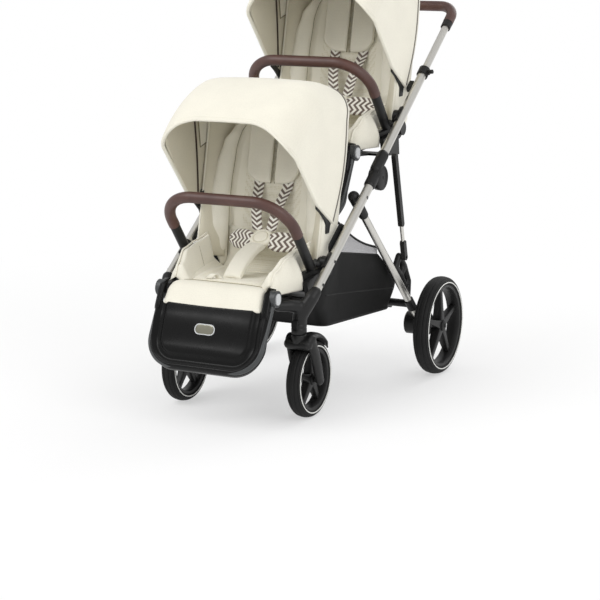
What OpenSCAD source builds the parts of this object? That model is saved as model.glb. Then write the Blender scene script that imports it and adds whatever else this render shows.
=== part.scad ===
// In-line twin pushchair: two seat units, one behind the other, on one folding frame.
// X runs to the rider's left, Y from front to back, Z up. Places in the side plane are [y, z] pairs
// measured from the front axle and the floor; every sub-part is then moved so that the origin lies on
// the floor under the middle of the pushchair.

/* [Wheels] */
// Radius of the front wheels
front_wheel_r = 102.5; // [98:0.5:105]
// Width of the front tyres
front_tyre_w = 40; // [36:1:42]
// Height of the front tyres' section
front_tyre_h = 19; // [16:0.5:22]
// Distance from the middle to a front wheel
front_wheel_x = 189; // [186:1:194]
// Radius of the rear wheels
rear_wheel_r = 141; // [134:0.5:146]
// Width of the rear tyres
rear_tyre_w = 47; // [42:1:48]
// Height of the rear tyres' section
rear_tyre_h = 22.5; // [18:0.5:26]
// Distance from the middle to a rear wheel
rear_wheel_x = 303; // [300:1:312]
// Distance between the front and rear axles
wheelbase = 597; // [590:1:610]
// Distance of a front wheel's axle behind its swivel axis
caster_trail = 57; // [50:1:60]
// Number of spokes in a wheel
spoke_count = 5; // [4:1:7]
// Radius of the wheel axles
axle_r = 6; // [5:0.5:7]

/* [Frame] */
// Radius of the main tubes
tube_r = 12.5; // [12:0.1:13]
// Wall of the main tubes
tube_wall = 2; // [1.5:0.1:2.5]
// Distance from the middle to a main tube
tube_x = 222; // [220:0.5:225]
// Slope of the lower tubes
lower_angle = 36; // [35:0.25:37]
// Slope of the upper tubes
upper_angle = 37.25; // [36.5:0.25:38]
// Fold pivot's distance behind the front axle
hinge_y = 350; // [345:1:355]
// Fold pivot's height
hinge_z = 595; // [590:1:600]
// Radius of the fold hinge
hinge_r = 28; // [26:0.5:30]
// Length of the lower tubes from the hinge
lower_len = 455; // [445:1:465]
// Length of the upper tubes from the hinge
upper_len = 412; // [400:1:420]
// Radius of the rear legs
leg_r = 10.5; // [10:0.1:11]
// Distance from the middle to the top of a rear leg
leg_top_x = 193; // [192:0.5:195]
// Distance from the middle to the foot of a rear leg
leg_foot_x = 247; // [245:0.5:249]
// Radius of the links' rods
link_r = 5.5; // [5:0.1:6]

/* [Handle] */
// Distance of the handle's cross bar from the hinge, along the upper tubes
handle_reach = 690; // [670:1:710]
// Radius of the handle's bends
handle_bend_r = 48; // [40:1:60]
// Radius of the handle's grip
grip_r = 15; // [14:0.5:17]
// Length of the handle's tubes below the grip
handle_tube_len = 400; // [360:1:420]

/* [Seats] */
// Front seat hub's distance behind the front axle
front_hub_y = 66; // [64:1:70]
// Front seat hub's height
front_hub_z = 389; // [387:1:392]
// Distance of the rear seat behind the front seat
seat_shift_y = 464; // [462:1:470]
// Height of the rear seat above the front seat
seat_shift_z = 322; // [318:1:326]
// Radius of the seat hubs
hub_r = 30; // [28:0.5:32]
// Slope of the backrest
back_angle = 78; // [77:0.5:79]
// Length of the backrest frame
back_len = 452; // [440:1:456]
// Slope of the leg rest
leg_rest_angle = 242.5; // [241:0.5:243]
// Length of the leg rest
leg_rest_len = 202; // [198:1:206]
// Slope of the bumper bar's arms
bumper_angle = 128; // [126:0.5:130]
// Depth of the bumper bar from its arms
bumper_depth = 115; // [110:1:125]
// Radius of the bumper bar
bumper_r = 15; // [13:0.5:16]

/* [Canopies] */
// Radius of a canopy about its pivot
canopy_r = 316; // [308:1:318]
// Half width of a canopy
canopy_half_w = 197; // [196.5:0.5:200]
// Thickness of a canopy's shell
canopy_wall = 3; // [2.6:0.1:3.2]
// Angle of a canopy's front rim
canopy_front_angle = 133; // [130:1:136]
// Angle of a canopy's rear edge
canopy_rear_angle = 62; // [60:1:64]

/* [Basket] */
// Half width of the basket
basket_half_w = 192; // [180:1:193]
// Wall of the basket
basket_wall = 3; // [2:0.5:4]
// Height of the basket's floor
basket_floor_z = 222; // [218:1:230]

/* [Hidden] */

$fn = 48;
// Radial clearance of a pin or tube in its bore
fit = 0.05;
// Sideways gap between parts that turn past each other
side_gap = 0.5;
// How far a cut runs past the face that it opens
overrun = 1;

// Distance of the origin behind the front axle
origin_y = 321;

// Finishes
silver = [0.71, 0.70, 0.65];
black = [0.17, 0.17, 0.17];
dark_grey = [0.30, 0.30, 0.31];
tyre_black = [0.10, 0.10, 0.10];
cream = [0.94, 0.93, 0.87];
leather = [0.36, 0.24, 0.21];
fabric_black = [0.14, 0.14, 0.14];

// Frame places
hinge = [hinge_y, hinge_z];
// Distance of each tube's centre line in front of the fold pivot
lower_rise = 20;
upper_rise = 28;
lower_foot = beside(hinge, lower_angle, 0, lower_rise);
upper_foot = beside(hinge, upper_angle, 0, upper_rise);
tube_bore = tube_r - tube_wall;
inner_tube_r = tube_bore - fit;
inner_tube_wall = 1.5;
// Tube ends seen from the hinge's foot
lower_tube_gap = 34;
upper_tube_gap = 36;
socket_wall = 4.5;
socket_r = tube_r + socket_wall;
socket_len = 34;
socket_stop = 2.5;
hinge_cheek = 8;
hinge_middle = 16;
fold_pin_r = 5;

// Rear leg and link places
leg_pivot_s = 100;
leg_pivot = beside(lower_foot, lower_angle, -leg_pivot_s, 0);
leg_pin_r = 5;
axle_place = [wheelbase, rear_wheel_r];
leg_vec = axle_place - leg_pivot;
leg_angle = atan2(leg_vec.y, leg_vec.x);
leg_len = norm(leg_vec);
link_foot_s = 295;
link_foot_rise = 46;
link_foot = beside(leg_pivot, leg_angle, link_foot_s, link_foot_rise);
link_top_s = 77;
link_top_drop = 21;
link_top = beside(upper_foot, upper_angle, link_top_s, -link_top_drop);
link_in_x = tube_x + socket_r;
link_w = 13;
link_pin_r = 4;
leg_wall = 2;
drum_r = 33;
drum_in_x = 208;
drum_gap = 6;
drum_out_x = rear_wheel_x - rear_tyre_w / 2 - drum_gap;
cross_tube_r = 11;

// Caster places
swivel = [-caster_trail, front_wheel_r];
stem_r = 8;
barrel_r = 20;
barrel_low = 236;
barrel_high = 294;
head_gap = 1;
wheel_gap = 6;
head_low = front_wheel_r * 2 + wheel_gap;
fork_gap = 4;
fork_arm_w = 8;
fork_arm_r = 11;
crossbar_place = [-112, 316];
crossbar_r = 9;
crossbar_half = 158;

// Seat places, measured from a seat's hub
knee = [-216, -47];
hub_out_x = 201;
hub_w = 13;
hub_in_x = hub_out_x - hub_w;
inner_disc_w = 13.5;
inner_disc_x = hub_in_x - side_gap - inner_disc_w;
back_disc_r = 25;
back_pin_r = 7;
knee_pin_r = 6;
knee_disc_r = 22;
// The leg rest's discs stand outside the arms' ends, which come inwards to the knee
knee_out_x = 176;
knee_disc_w = 20;
knee_disc_in_x = knee_out_x - knee_disc_w;
knee_arm_out_x = knee_disc_in_x - side_gap;
knee_arm_in_x = knee_arm_out_x - hub_w;
knee_pin_len = 10;
board_front_x = knee_arm_in_x + hub_w / 2;
knee_pin_out_x = knee_arm_out_x + knee_pin_len;
arm_r = 14;
arm_straight = 30;
arm_len = norm(knee);
arm_slope = atan2(-knee.y, -knee.x);
back_tube_r = 9;
back_tube_x = 178;
back_bend_r = 72;
leg_tube_r = 8;
leg_tube_x = 164;
leg_bend_r = 72;
seat_pad_rear = [46, -57];
seat_pad_front = [-214, -38];
seat_pad_w = 166;
seat_pad_t = 30;
seat_wing = 62;
seat_lip = 14;
seat_lip_share = 0.25;
seat_front_w_share = 0.78;
seat_taper_share = 0.55;
seat_end_share = 0.92;
seat_wing_start_share = 0.12;
seat_wing_end_share = 0.72;
seat_board_r = 3;
// Slack between a pad and the frame that carries it
rest_gap = 0.4;
pad_corner_share = 0.55;
pad_crown_share = 0.18;
seat_board_sink = 0.65;
seat_pad_low = seat_pad_t / 2 * (1 + pad_crown_share) - seat_board_sink + seat_board_r;
seat_board_front_share = 0.27;
seat_web_share = 0.46;
seat_web_low_share = 0.5;
seat_board_rear_share = 0.86;
seat_board_front = seat_board_place(seat_board_front_share);
seat_board_low = seat_board_place(seat_board_rear_share);
seat_web_low = seat_board_place(seat_web_low_share);
bumper_x = 184;
bumper_mouth = [-68, 34];
bumper_arm_len = 88;
bumper_arm_r = 13.5;
bumper_plug_r = 8;
bumper_plug_len = 28;
bumper_bend_r = 96;
bumper_socket_len = 34;
canopy_pivot_s = 170;
canopy_pivot = beside([0, 0], back_angle, canopy_pivot_s, 0);
canopy_pin_r = 5;
canopy_hub_r = 16;
canopy_bend_r = 76;
canopy_crown = 8;
canopy_front_drop = 6;
canopy_split_angle = 94;
canopy_lap_angle = 3;

function seat_board_place(t) = let(v = seat_pad_rear - seat_pad_front)
    beside(mix(seat_pad_front, seat_pad_rear, t), atan2(v.y, v.x), 0, -seat_pad_low);
function beside(p, a, s, n) = p + s * [cos(a), sin(a)] + n * [-sin(a), cos(a)];
function at_x(x, p) = [x, p.x, p.y];
function signed_pow(v, e) = sign(v) * pow(abs(v), e);
function mix(a, b, t) = a + (b - a) * t;
// Smooth step from 0 to 1
function ease(t) = let(c = min(1, max(0, t))) c * c * (3 - 2 * c);

// Moves a sub-part from the front axle's frame to the part's own frame
module placed() {
    translate([0, -origin_y, 0]) children();
}

module both_sides() {
    children();
    mirror([1, 0, 0]) children();
}

// A sub-part on the rider's right is the left one mirrored
module on_side(left) {
    if (left) children();
    else mirror([1, 0, 0]) children();
}

module rod(p, q, r) {
    v = q - p;
    translate(p) rotate([0, acos(v.z / norm(v)), atan2(v.y, v.x)]) cylinder(h = norm(v), r = r);
}

// A hollow tube, open at both ends
module pipe(p, q, r, bore) {
    u = (q - p) / norm(q - p);
    difference() {
        rod(p, q, r);
        rod(p - overrun * u, q + overrun * u, bore);
    }
}

module x_rod(p, x0, x1, r) {
    translate([x0, p.x, p.y]) rotate([0, 90, 0]) cylinder(h = x1 - x0, r = r);
}

// Raises a side view, drawn as y and z, into a plate between two x places
module plate(x0, x1) {
    translate([x0, 0, 0]) rotate([90, 0, 90]) linear_extrude(x1 - x0) children();
}

// A bar with round eyes at its ends, as a side view
bar_waist_share = 0.95;
module bar_view(p, q, r) {
    v = q - p;
    waist = r * bar_waist_share;
    translate(p) rotate(atan2(v.y, v.x)) translate([0, -waist]) square([norm(v), 2 * waist]);
    translate(p) circle(r);
    translate(q) circle(r);
}

// A round bar bent to a U in its own plane: arms along +Y from start, cross piece at depth
module u_bar(half_w, start, depth, bend_r, r) {
    both_sides() {
        rod([half_w, start, 0], [half_w, depth - bend_r, 0], r);
        translate([half_w - bend_r, depth - bend_r, 0])
            rotate_extrude(angle = 90) translate([bend_r, 0]) circle(r);
    }
    rod([bend_r - half_w, depth, 0], [half_w - bend_r, depth, 0], r);
}

// Joins closed rings of equal count into one solid; the two ends are closed by strips
module loft(rings) {
    n = len(rings[0]);
    last = len(rings) - 1;
    points = [for (ring = rings) each ring];
    sides = [for (k = [0:last - 1], i = [0:n - 1]) let(j = (i + 1) % n, a = k * n, b = a + n)
        each [[a + i, a + j, b + j], [a + i, b + j, b + i]]];
    caps = [for (i = [0:n / 2 - 1]) let(j = n - 1 - i)
        each [[i, j, i + 1], [i + 1, j, j - 1]]];
    start = [for (f = caps) if (f[0] != f[1] && f[1] != f[2] && f[0] != f[2]) [f[0], f[1], f[2]]];
    end = [for (f = start) [f[2] + last * n, f[1] + last * n, f[0] + last * n]];
    polyhedron(points = points, faces = concat(sides, start, end));
}

// One ring of a pad: half width w, thickness t, and edges that rise by wing towards the rider
ring_count = 20;
function pad_ring(centre, angle, w, t, wing) = [for (i = [0:ring_count - 1])
    let(a = 360 * (i + 0.5) / ring_count,
        u = signed_pow(cos(a), pad_corner_share),
        v = signed_pow(sin(a), pad_corner_share),
        crown = 1 + pad_crown_share * (1 - u * u),
        p = beside(centre, angle, 0, wing * u * u * abs(u) + v * crown * t / 2))
    [w * u, p.x, p.y]];

// Main tubes and fold hinge
lower_start = beside(lower_foot, lower_angle, -lower_len, 0);
lower_end = beside(lower_foot, lower_angle, -lower_tube_gap, 0);
upper_start = beside(upper_foot, upper_angle, upper_tube_gap, 0);
upper_end = beside(upper_foot, upper_angle, upper_len, 0);

module lower_tubes() color(silver) placed() both_sides() difference() {
    pipe(at_x(tube_x, lower_start), at_x(tube_x, lower_end), tube_r, tube_bore);
    x_rod(leg_pivot, tube_x - 2 * tube_r, tube_x + 2 * tube_r, leg_pin_r + fit);
}

module upper_tubes() color(silver) placed() both_sides()
    pipe(at_x(tube_x, upper_start), at_x(tube_x, upper_end), tube_r, tube_bore);

// A round bar on a main tube's centre line between two distances from the tube's foot
module tube_bar(foot, angle, s0, s1, r) {
    rod(at_x(tube_x, beside(foot, angle, s0, 0)), at_x(tube_x, beside(foot, angle, s1, 0)), r);
}

hinge_out_x = tube_x + hinge_middle / 2 + side_gap + hinge_cheek;
hinge_in_x = tube_x - hinge_middle / 2 - side_gap - hinge_cheek;
hinge_cap_w = 5;
hinge_cap_inset = 2;
hinge_cap_r = hinge_r - hinge_cap_inset;
hinge_bar_r = 13.5;
hinge_tongue_r = 9;

// Lower half: a sleeve on the lower tube and two cheeks beside the pivot
module hinge_lower() color(black) placed() both_sides() difference() {
    union() {
        tube_bar(lower_foot, lower_angle, -lower_tube_gap - socket_len, socket_stop - lower_tube_gap, socket_r);
        plate(hinge_in_x, hinge_in_x + hinge_cheek) hinge_lower_view();
        plate(hinge_out_x - hinge_cheek, hinge_out_x) hinge_lower_view();
        x_rod(hinge, hinge_out_x - side_gap, hinge_out_x + hinge_cap_w, hinge_cap_r);
    }
    rod(at_x(tube_x, lower_start), at_x(tube_x, lower_end), tube_r + fit);
    x_rod(hinge, hinge_in_x - overrun, hinge_out_x - side_gap, fold_pin_r + fit);
}

module hinge_lower_view() {
    bar_view(hinge, beside(lower_foot, lower_angle, -lower_tube_gap - socket_len / 2, 0), hinge_bar_r);
    translate(hinge) circle(hinge_r);
}

// Upper half: a sleeve on the upper tube, a tongue between the cheeks and the links' top lugs
module hinge_upper() color(black) placed() both_sides() difference() {
    union() {
        tube_bar(upper_foot, upper_angle, upper_tube_gap, upper_tube_gap + socket_len, socket_r);
        plate(tube_x - hinge_middle / 2, tube_x + hinge_middle / 2) {
            translate(hinge) circle(hinge_r);
            bar_view(hinge, beside(upper_foot, upper_angle, upper_tube_gap + socket_len / 2, 0), hinge_tongue_r);
        }
        plate(tube_x + hinge_middle / 4, link_in_x - side_gap)
            bar_view(link_top, beside(upper_foot, upper_angle, upper_tube_gap + socket_len / 2, 0), hinge_tongue_r);
    }
    rod(at_x(tube_x, upper_start), at_x(tube_x, upper_end), tube_r + fit);
    x_rod(hinge, hinge_in_x, hinge_out_x, fold_pin_r + fit);
}

leg_pin_in_x = leg_top_x - leg_r - socket_wall;

// Pins of the fold hinge and of the rear legs' pivots
module hinge_pins() color(silver) placed() both_sides() {
    x_rod(hinge, hinge_in_x, hinge_out_x - side_gap, fold_pin_r);
    x_rod(leg_pivot, leg_pin_in_x, tube_x + tube_r, leg_pin_r);
}

// Front: knuckles on the lower tubes' ends, joined by a cross tube
knuckle_arm_r = 11;
knuckle_end_r = 14;
knuckle_cap = 13;
knuckle_socket_len = 40;
knuckle_top = [front_wheel_x, swivel.x, barrel_high];

module front_crossbar() color(black) placed() {
    both_sides() difference() {
        union() {
            tube_bar(lower_foot, lower_angle, -lower_len - 3 * socket_wall,
                knuckle_socket_len - lower_len, socket_r);
            translate([front_wheel_x, swivel.x, barrel_low])
                cylinder(h = barrel_high - barrel_low + knuckle_cap, r = barrel_r);
            rod(knuckle_top, at_x(tube_x, beside(lower_foot, lower_angle, -lower_len - socket_wall, 0)),
                knuckle_arm_r);
            rod(knuckle_top, at_x(crossbar_half, crossbar_place), knuckle_arm_r);
            x_rod(crossbar_place, crossbar_half - knuckle_arm_r, crossbar_half + knuckle_arm_r, knuckle_end_r);
        }
        rod(at_x(tube_x, lower_start), at_x(tube_x, lower_end), tube_r + fit);
        translate([front_wheel_x, swivel.x, barrel_low - overrun])
            cylinder(h = barrel_high - barrel_low + overrun, r = stem_r + fit);
    }
    x_rod(crossbar_place, -crossbar_half, crossbar_half, crossbar_r);
}

// Saddles on the main tubes' inner sides that carry the seats' hubs
adapter_len = 52;
adapter_plate_r = 19;
front_hub = [front_hub_y, front_hub_z];
rear_hub = front_hub + [seat_shift_y, seat_shift_z];

function reach_along(p, foot, angle) = (p - foot) * [cos(angle), sin(angle)];

module adapter(hub, foot, angle) {
    s = reach_along(hub, foot, angle);
    difference() {
        union() {
            tube_bar(foot, angle, s - adapter_len / 2, s + adapter_len / 2, socket_r);
            plate(hub_out_x, tube_x - tube_r / 2)
                bar_view(hub, beside(foot, angle, s, 0), adapter_plate_r);
        }
        tube_bar(foot, angle, s - adapter_len, s + adapter_len, tube_r + fit);
        plate(tube_x, tube_x + 2 * socket_r) bar_view(beside(foot, angle, s - adapter_len, 0),
            beside(foot, angle, s + adapter_len, 0), 2 * socket_r);
    }
}

module front_adapters() color(black) placed() both_sides() adapter(front_hub, lower_foot, lower_angle);
module rear_adapters() color(black) placed() both_sides() adapter(rear_hub, upper_foot, upper_angle);

// Collars at the upper tubes' ends, each with a stud for a cup holder on its outer side
collar_len = 26;
collar_wall = 4;
stud_r = 6;
stud_len = 18;
stud_s = upper_len - collar_len / 2;
// The studs lean forwards, square to their tubes
stud_tilt = 10;
stud_end = tube_r + stud_len;
stud_seat_r = 9;
stud_seat_rise = 1.5;
stud_seat = tube_r + collar_wall + stud_seat_rise;
function stud_place(out) = at_x(tube_x + out * cos(stud_tilt),
    beside(upper_foot, upper_angle, stud_s, out * sin(stud_tilt)));

module upper_collars() color(black) placed() both_sides() difference() {
    union() {
        tube_bar(upper_foot, upper_angle, upper_len - collar_len, upper_len, tube_r + collar_wall);
        rod(stud_place(stud_r), stud_place(stud_seat), stud_seat_r);
        rod(stud_place(stud_r), stud_place(stud_end), stud_r);
    }
    tube_bar(upper_foot, upper_angle, upper_len - 2 * collar_len, upper_len + overrun, tube_r + fit);
}

// Fold release: a slider on the inner side of each upper tube
slider_len = 34;
slider_w = 12;
slider_h = 14;
slider_travel = 12;
slider_gap = 30;
slider_s = upper_len - collar_len - slider_len - slider_gap;

module fold_slider(left) color(black) placed() on_side(left) difference() {
    translate(at_x(tube_x - tube_r - slider_w / 2, beside(upper_foot, upper_angle, slider_s, 0)))
        rotate([upper_angle, 0, 0]) translate([0, slider_len / 2, 0]) slider_body();
    rod(at_x(tube_x, upper_start), at_x(tube_x, upper_end), tube_r + fit);
}

module slider_body() {
    cube([slider_w, slider_len, slider_h], center = true);
    translate([-slider_w / 2, 0, 0]) rotate([90, 0, 0]) cylinder(h = slider_h, r = slider_w / 3, center = true);
}

module fold_slider_left() fold_slider(true);
module fold_slider_right() fold_slider(false);

// Handle: two inner tubes that slide in the upper tubes, collars and a leather grip
grip_leg_len = 26;
grip_start_s = handle_reach - handle_bend_r - grip_leg_len;
handle_tube_start_s = grip_start_s - handle_tube_len;
handle_collar_len = 22;
handle_collar_r = 14.5;
button_half_w = 22;
button_r = 7;
button_rise = 6;
button_depth = 8;
button_travel = 4;

module handle_plane() {
    translate([0, upper_foot.x, upper_foot.y]) rotate([upper_angle, 0, 0]) children();
}

module handle_tubes() color(silver) placed() both_sides()
    pipe(at_x(tube_x, beside(upper_foot, upper_angle, handle_tube_start_s, 0)),
        at_x(tube_x, beside(upper_foot, upper_angle, grip_start_s - side_gap, 0)),
        inner_tube_r, inner_tube_r - inner_tube_wall);

module handle_collars() color(black) placed() handle_plane() both_sides()
    pipe([tube_x, grip_start_s - handle_collar_len, 0], [tube_x, grip_start_s, 0],
        handle_collar_r, inner_tube_r + fit);

module handle_grip() color(leather) placed() handle_plane() difference() {
    u_bar(tube_x, grip_start_s, handle_reach, handle_bend_r, grip_r);
    handle_button_shape(button_half_w + side_gap, button_r + side_gap, grip_r - button_depth - button_travel);
}

// An oval button that stands out of the cross bar's front side
module handle_button_shape(half_w, r, low) {
    translate([0, handle_reach, 0]) rotate([90, 0, 0]) translate([0, 0, low])
        linear_extrude(grip_r + button_rise - low)
            bar_view([r - half_w, 0], [half_w - r, 0], r);
}

module handle_button() color(dark_grey) placed() handle_plane() difference() {
    handle_button_shape(button_half_w, button_r, grip_r - button_depth + side_gap);
    translate([-button_half_w, handle_reach - grip_r - 2 * button_rise, -grip_r])
        cube([2 * button_half_w, button_rise + 2 * side_gap, 2 * grip_r]);
}

// Rear legs with their heads and the brackets that take the links
leg_top = at_x(leg_top_x, leg_pivot);
leg_low = at_x(leg_foot_x, axle_place);
leg_dir = (leg_low - leg_top) / norm(leg_low - leg_top);
leg_head_len = 46;
leg_start_s = 14;
leg_seat = 14;
leg_end_s = norm(leg_low - leg_top) - drum_r + leg_seat;
leg_head_r = 15;
bracket_len = 56;
bracket_wall = 3.5;
bracket_w = 9;
link_x = link_in_x + link_w / 2;
bracket_share = link_foot_s / leg_len;
bracket_centre = leg_top + leg_dir * link_foot_s;

module rear_legs() color(silver) placed() both_sides()
    pipe(leg_top + leg_start_s * leg_dir, leg_top + leg_end_s * leg_dir, leg_r, leg_r - leg_wall);

module rear_leg_fittings() color(black) placed() both_sides() {
    difference() {
        union() {
            x_rod(leg_pivot, leg_top_x - leg_head_r, tube_x - tube_r - side_gap, leg_head_r);
            rod(leg_top, leg_top + leg_head_len * leg_dir, leg_r + bracket_wall);
        }
        rod(leg_top + leg_start_s * leg_dir, leg_top + leg_end_s * leg_dir, leg_r + fit);
        x_rod(leg_pivot, leg_top_x - 2 * leg_head_r, tube_x, leg_pin_r + fit);
        x_rod(leg_pivot, tube_x - tube_r - side_gap, tube_x, leg_head_r + leg_head_r);
        rod(at_x(tube_x, lower_start), at_x(tube_x, lower_end), tube_r + side_gap);
    }
    difference() {
        union() {
            rod(bracket_centre - leg_dir * bracket_len / 2, bracket_centre + leg_dir * bracket_len / 2,
                leg_r + bracket_wall);
            plate(bracket_centre.x, link_in_x - side_gap)
                bar_view(link_foot, [bracket_centre.y, bracket_centre.z], leg_r + bracket_wall);
            x_rod(link_foot, bracket_centre.x, link_in_x + link_w, link_pin_r);
        }
        rod(leg_top + leg_start_s * leg_dir, leg_top + leg_end_s * leg_dir, leg_r + fit);
    }
}

// Links from the upper frame to the rear legs: a rod in a sleeve, with a fork at the foot
sleeve_share = 0.66;
fork_share = 0.14;
link_vec = link_foot - link_top;
link_len = norm(link_vec);
link_angle = atan2(link_vec.y, link_vec.x);
sleeve_r = 9;

module link_sleeves() color(black) placed() both_sides() difference() {
    union() {
        plate(link_in_x, link_in_x + link_w)
            bar_view(link_top, beside(link_top, link_angle, link_len * sleeve_share, 0), sleeve_r);
        plate(link_in_x, link_in_x + link_w)
            bar_view(beside(link_top, link_angle, link_len * (1 - fork_share), 0), link_foot, sleeve_r);
    }
    rod(at_x(link_x, beside(link_top, link_angle, 2 * sleeve_r, 0)),
        at_x(link_x, beside(link_top, link_angle, link_len - 2 * sleeve_r, 0)), link_r + fit);
    x_rod(link_foot, link_in_x - overrun, link_in_x + link_w + overrun, link_pin_r + fit);
}

module link_rods() color(silver) placed() both_sides()
    rod(at_x(link_x, beside(link_top, link_angle, 2 * sleeve_r, 0)),
        at_x(link_x, beside(link_top, link_angle, link_len - 2 * sleeve_r, 0)), link_r);

// Rear axle: a drum and stub axle at each leg's foot, and a cross tube between the legs above them
cross_s = 450;
cross_collar_half = 18;
cross_point = leg_top + cross_s * leg_dir;
cross_place = [cross_point.y, cross_point.z];

module rear_axle() color(black) placed() {
    difference() {
        union() {
            x_rod(cross_place, -cross_point.x, cross_point.x, cross_tube_r);
            both_sides() rod(cross_point - cross_collar_half * leg_dir, cross_point + cross_collar_half * leg_dir,
                leg_r + bracket_wall);
        }
        both_sides() rod(leg_top + leg_start_s * leg_dir, leg_top + leg_end_s * leg_dir, leg_r + fit);
    }
    both_sides() {
        difference() {
            x_rod(axle_place, drum_in_x, drum_out_x, drum_r);
            rod(leg_top + leg_start_s * leg_dir, leg_top + leg_end_s * leg_dir, leg_r + fit);
        }
        x_rod(axle_place, drum_out_x, rear_wheel_x + rear_tyre_w / 2 - side_gap, axle_r);
    }
}

// Foot pedal of the brake, turning on the cross tube
pedal_x0 = 60;
pedal_x1 = 150;
pedal_wall = 4;
pedal_reach = 62;
pedal_drop = 22;
pedal_r = 7;
pedal_end_r = 9;

module brake_pedal() color(black) placed() difference() {
    union() {
        x_rod(cross_place, pedal_x0, pedal_x1, cross_tube_r + pedal_wall);
        plate(pedal_x0, pedal_x1)
            bar_view(cross_place, cross_place + [pedal_reach, -pedal_drop], pedal_r);
        x_rod(cross_place + [pedal_reach, -pedal_drop], pedal_x0, pedal_x1, pedal_end_r);
    }
    x_rod(cross_place, pedal_x0 - overrun, pedal_x1 + overrun, cross_tube_r + fit);
}

// Tyre: a ring with a round tread and three grooves
wheel_fn = 96;
groove_w = 2;
groove_depth = 1.5;
groove_count = 3;
groove_pitch_share = 0.18;
tread_share = 0.55;

module tyre(r, w, h) {
    tread_r = w * tread_share;
    rotate([0, 90, 0]) rotate_extrude($fn = wheel_fn) difference() {
        intersection() {
            translate([r - h, -w / 2]) square([h, w]);
            translate([r - tread_r, 0]) circle(tread_r);
        }
        for (i = [0:groove_count - 1]) {
            y = groove_place(i, w);
            translate([r - tread_r + sqrt(tread_r * tread_r - y * y) - groove_depth, y - groove_w / 2])
                square([h, groove_w]);
        }
    }
}

function groove_place(i, w) = (i - (groove_count - 1) / 2) * groove_pitch_share * w;

// Rim: barrel under the tyre, spokes and a hub with the axle's bore
rim_wall = 7;
rim_w_share = 0.8;
hub_ring_r = 17;
rim_lip = 2;
hub_w_share = 0.86;
spoke_w = 17;
spoke_foot_w = 24;
spoke_t_share = 0.3;

module rim(r, w, h) {
    rim_r = r - h;
    difference() {
        union() {
            difference() {
                x_rod([0, 0], -w * rim_w_share / 2, w * rim_w_share / 2, rim_r);
                x_rod([0, 0], -w, w, rim_r - rim_wall);
            }
            x_rod([0, 0], -w * hub_w_share / 2, w * hub_w_share / 2, hub_ring_r);
            plate(-w * spoke_t_share / 2, w * spoke_t_share / 2) difference() {
                circle(rim_r - rim_wall / 2, $fn = wheel_fn);
                difference() {
                    circle(rim_r - rim_wall - rim_lip, $fn = wheel_fn);
                    circle(hub_ring_r + rim_lip);
                    for (i = [0:spoke_count - 1]) rotate(360 * i / spoke_count) spoke_view(rim_r);
                }
            }
        }
        x_rod([0, 0], -w, w, axle_r + fit);
    }
}

module spoke_view(length) {
    polygon([[-spoke_foot_w / 2, 0], [spoke_foot_w / 2, 0], [spoke_w / 2, length], [-spoke_w / 2, length]]);
}

module front_wheel_place(left) placed() on_side(left) translate([front_wheel_x, 0, front_wheel_r]) children();
module rear_wheel_place(left) placed() on_side(left) translate([rear_wheel_x, wheelbase, rear_wheel_r]) children();

module rear_tyre_left() color(tyre_black) rear_wheel_place(true) tyre(rear_wheel_r, rear_tyre_w, rear_tyre_h);
module rear_tyre_right() color(tyre_black) rear_wheel_place(false) tyre(rear_wheel_r, rear_tyre_w, rear_tyre_h);
module rear_rim_left() color(black) rear_wheel_place(true) rim(rear_wheel_r, rear_tyre_w, rear_tyre_h);
module rear_rim_right() color(black) rear_wheel_place(false) rim(rear_wheel_r, rear_tyre_w, rear_tyre_h);
module front_tyre_left() color(tyre_black) front_wheel_place(true) tyre(front_wheel_r, front_tyre_w, front_tyre_h);
module front_tyre_right() color(tyre_black) front_wheel_place(false) tyre(front_wheel_r, front_tyre_w, front_tyre_h);
module front_rim_left() color(black) front_wheel_place(true) rim(front_wheel_r, front_tyre_w, front_tyre_h);
module front_rim_right() color(black) front_wheel_place(false) rim(front_wheel_r, front_tyre_w, front_tyre_h);

// Caster fork: stem in the knuckle, head, two arms, axle bolt and mudguard
fork_half_w = front_tyre_w / 2 + fork_gap + fork_arm_w;
stem_top_gap = 8;
stem_top = barrel_high - stem_top_gap;
head_high = barrel_low - head_gap;
head_r = 19;
fork_top_set = 14;
fork_bridge = 16;
fork_top = [fork_top_set - caster_trail, (head_low + head_high) / 2];
guard_gap = 5;
guard_t = 3;
guard_start_angle = 48;
guard_sweep_angle = 46;
guard_stay_angle = 91;
guard_stay_w = 18;
guard_stay_r = 2.3;

module caster_fork(left) color(black) placed() on_side(left) translate([front_wheel_x, 0, 0]) {
    translate([0, swivel.x, head_low]) cylinder(h = head_high - head_low, r = head_r);
    translate([0, swivel.x, head_low]) cylinder(h = stem_top - head_low, r = stem_r);
    plate(-fork_half_w, fork_half_w) bar_view(fork_top, fork_top + [fork_bridge, 0], (head_high - head_low) / 2);
    both_sides() plate(fork_half_w - fork_arm_w, fork_half_w)
        bar_view(fork_top, [0, front_wheel_r], fork_arm_r);
    x_rod([0, front_wheel_r], -fork_half_w, fork_half_w, axle_r);
    plate(-guard_stay_w / 2, guard_stay_w / 2) bar_view(fork_top + [fork_bridge, 0],
        beside([0, front_wheel_r], guard_stay_angle, front_wheel_r + guard_gap + guard_t / 2, 0), guard_stay_r);
    translate([0, 0, front_wheel_r]) rotate([90, 0, 90]) rotate([0, 0, guard_start_angle])
        rotate_extrude(angle = guard_sweep_angle)
            translate([front_wheel_r + guard_gap, -front_tyre_w / 2]) square([guard_t, front_tyre_w]);
}

module caster_fork_left() caster_fork(true);
module caster_fork_right() caster_fork(false);

// Swivel lock: a tab that slides down the front of the knuckle
lock_w = 16;
lock_t = 7;
lock_h = 22;
lock_travel = 8;
lock_rise = 8;
lock_low = barrel_low + lock_travel + lock_rise;

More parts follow.
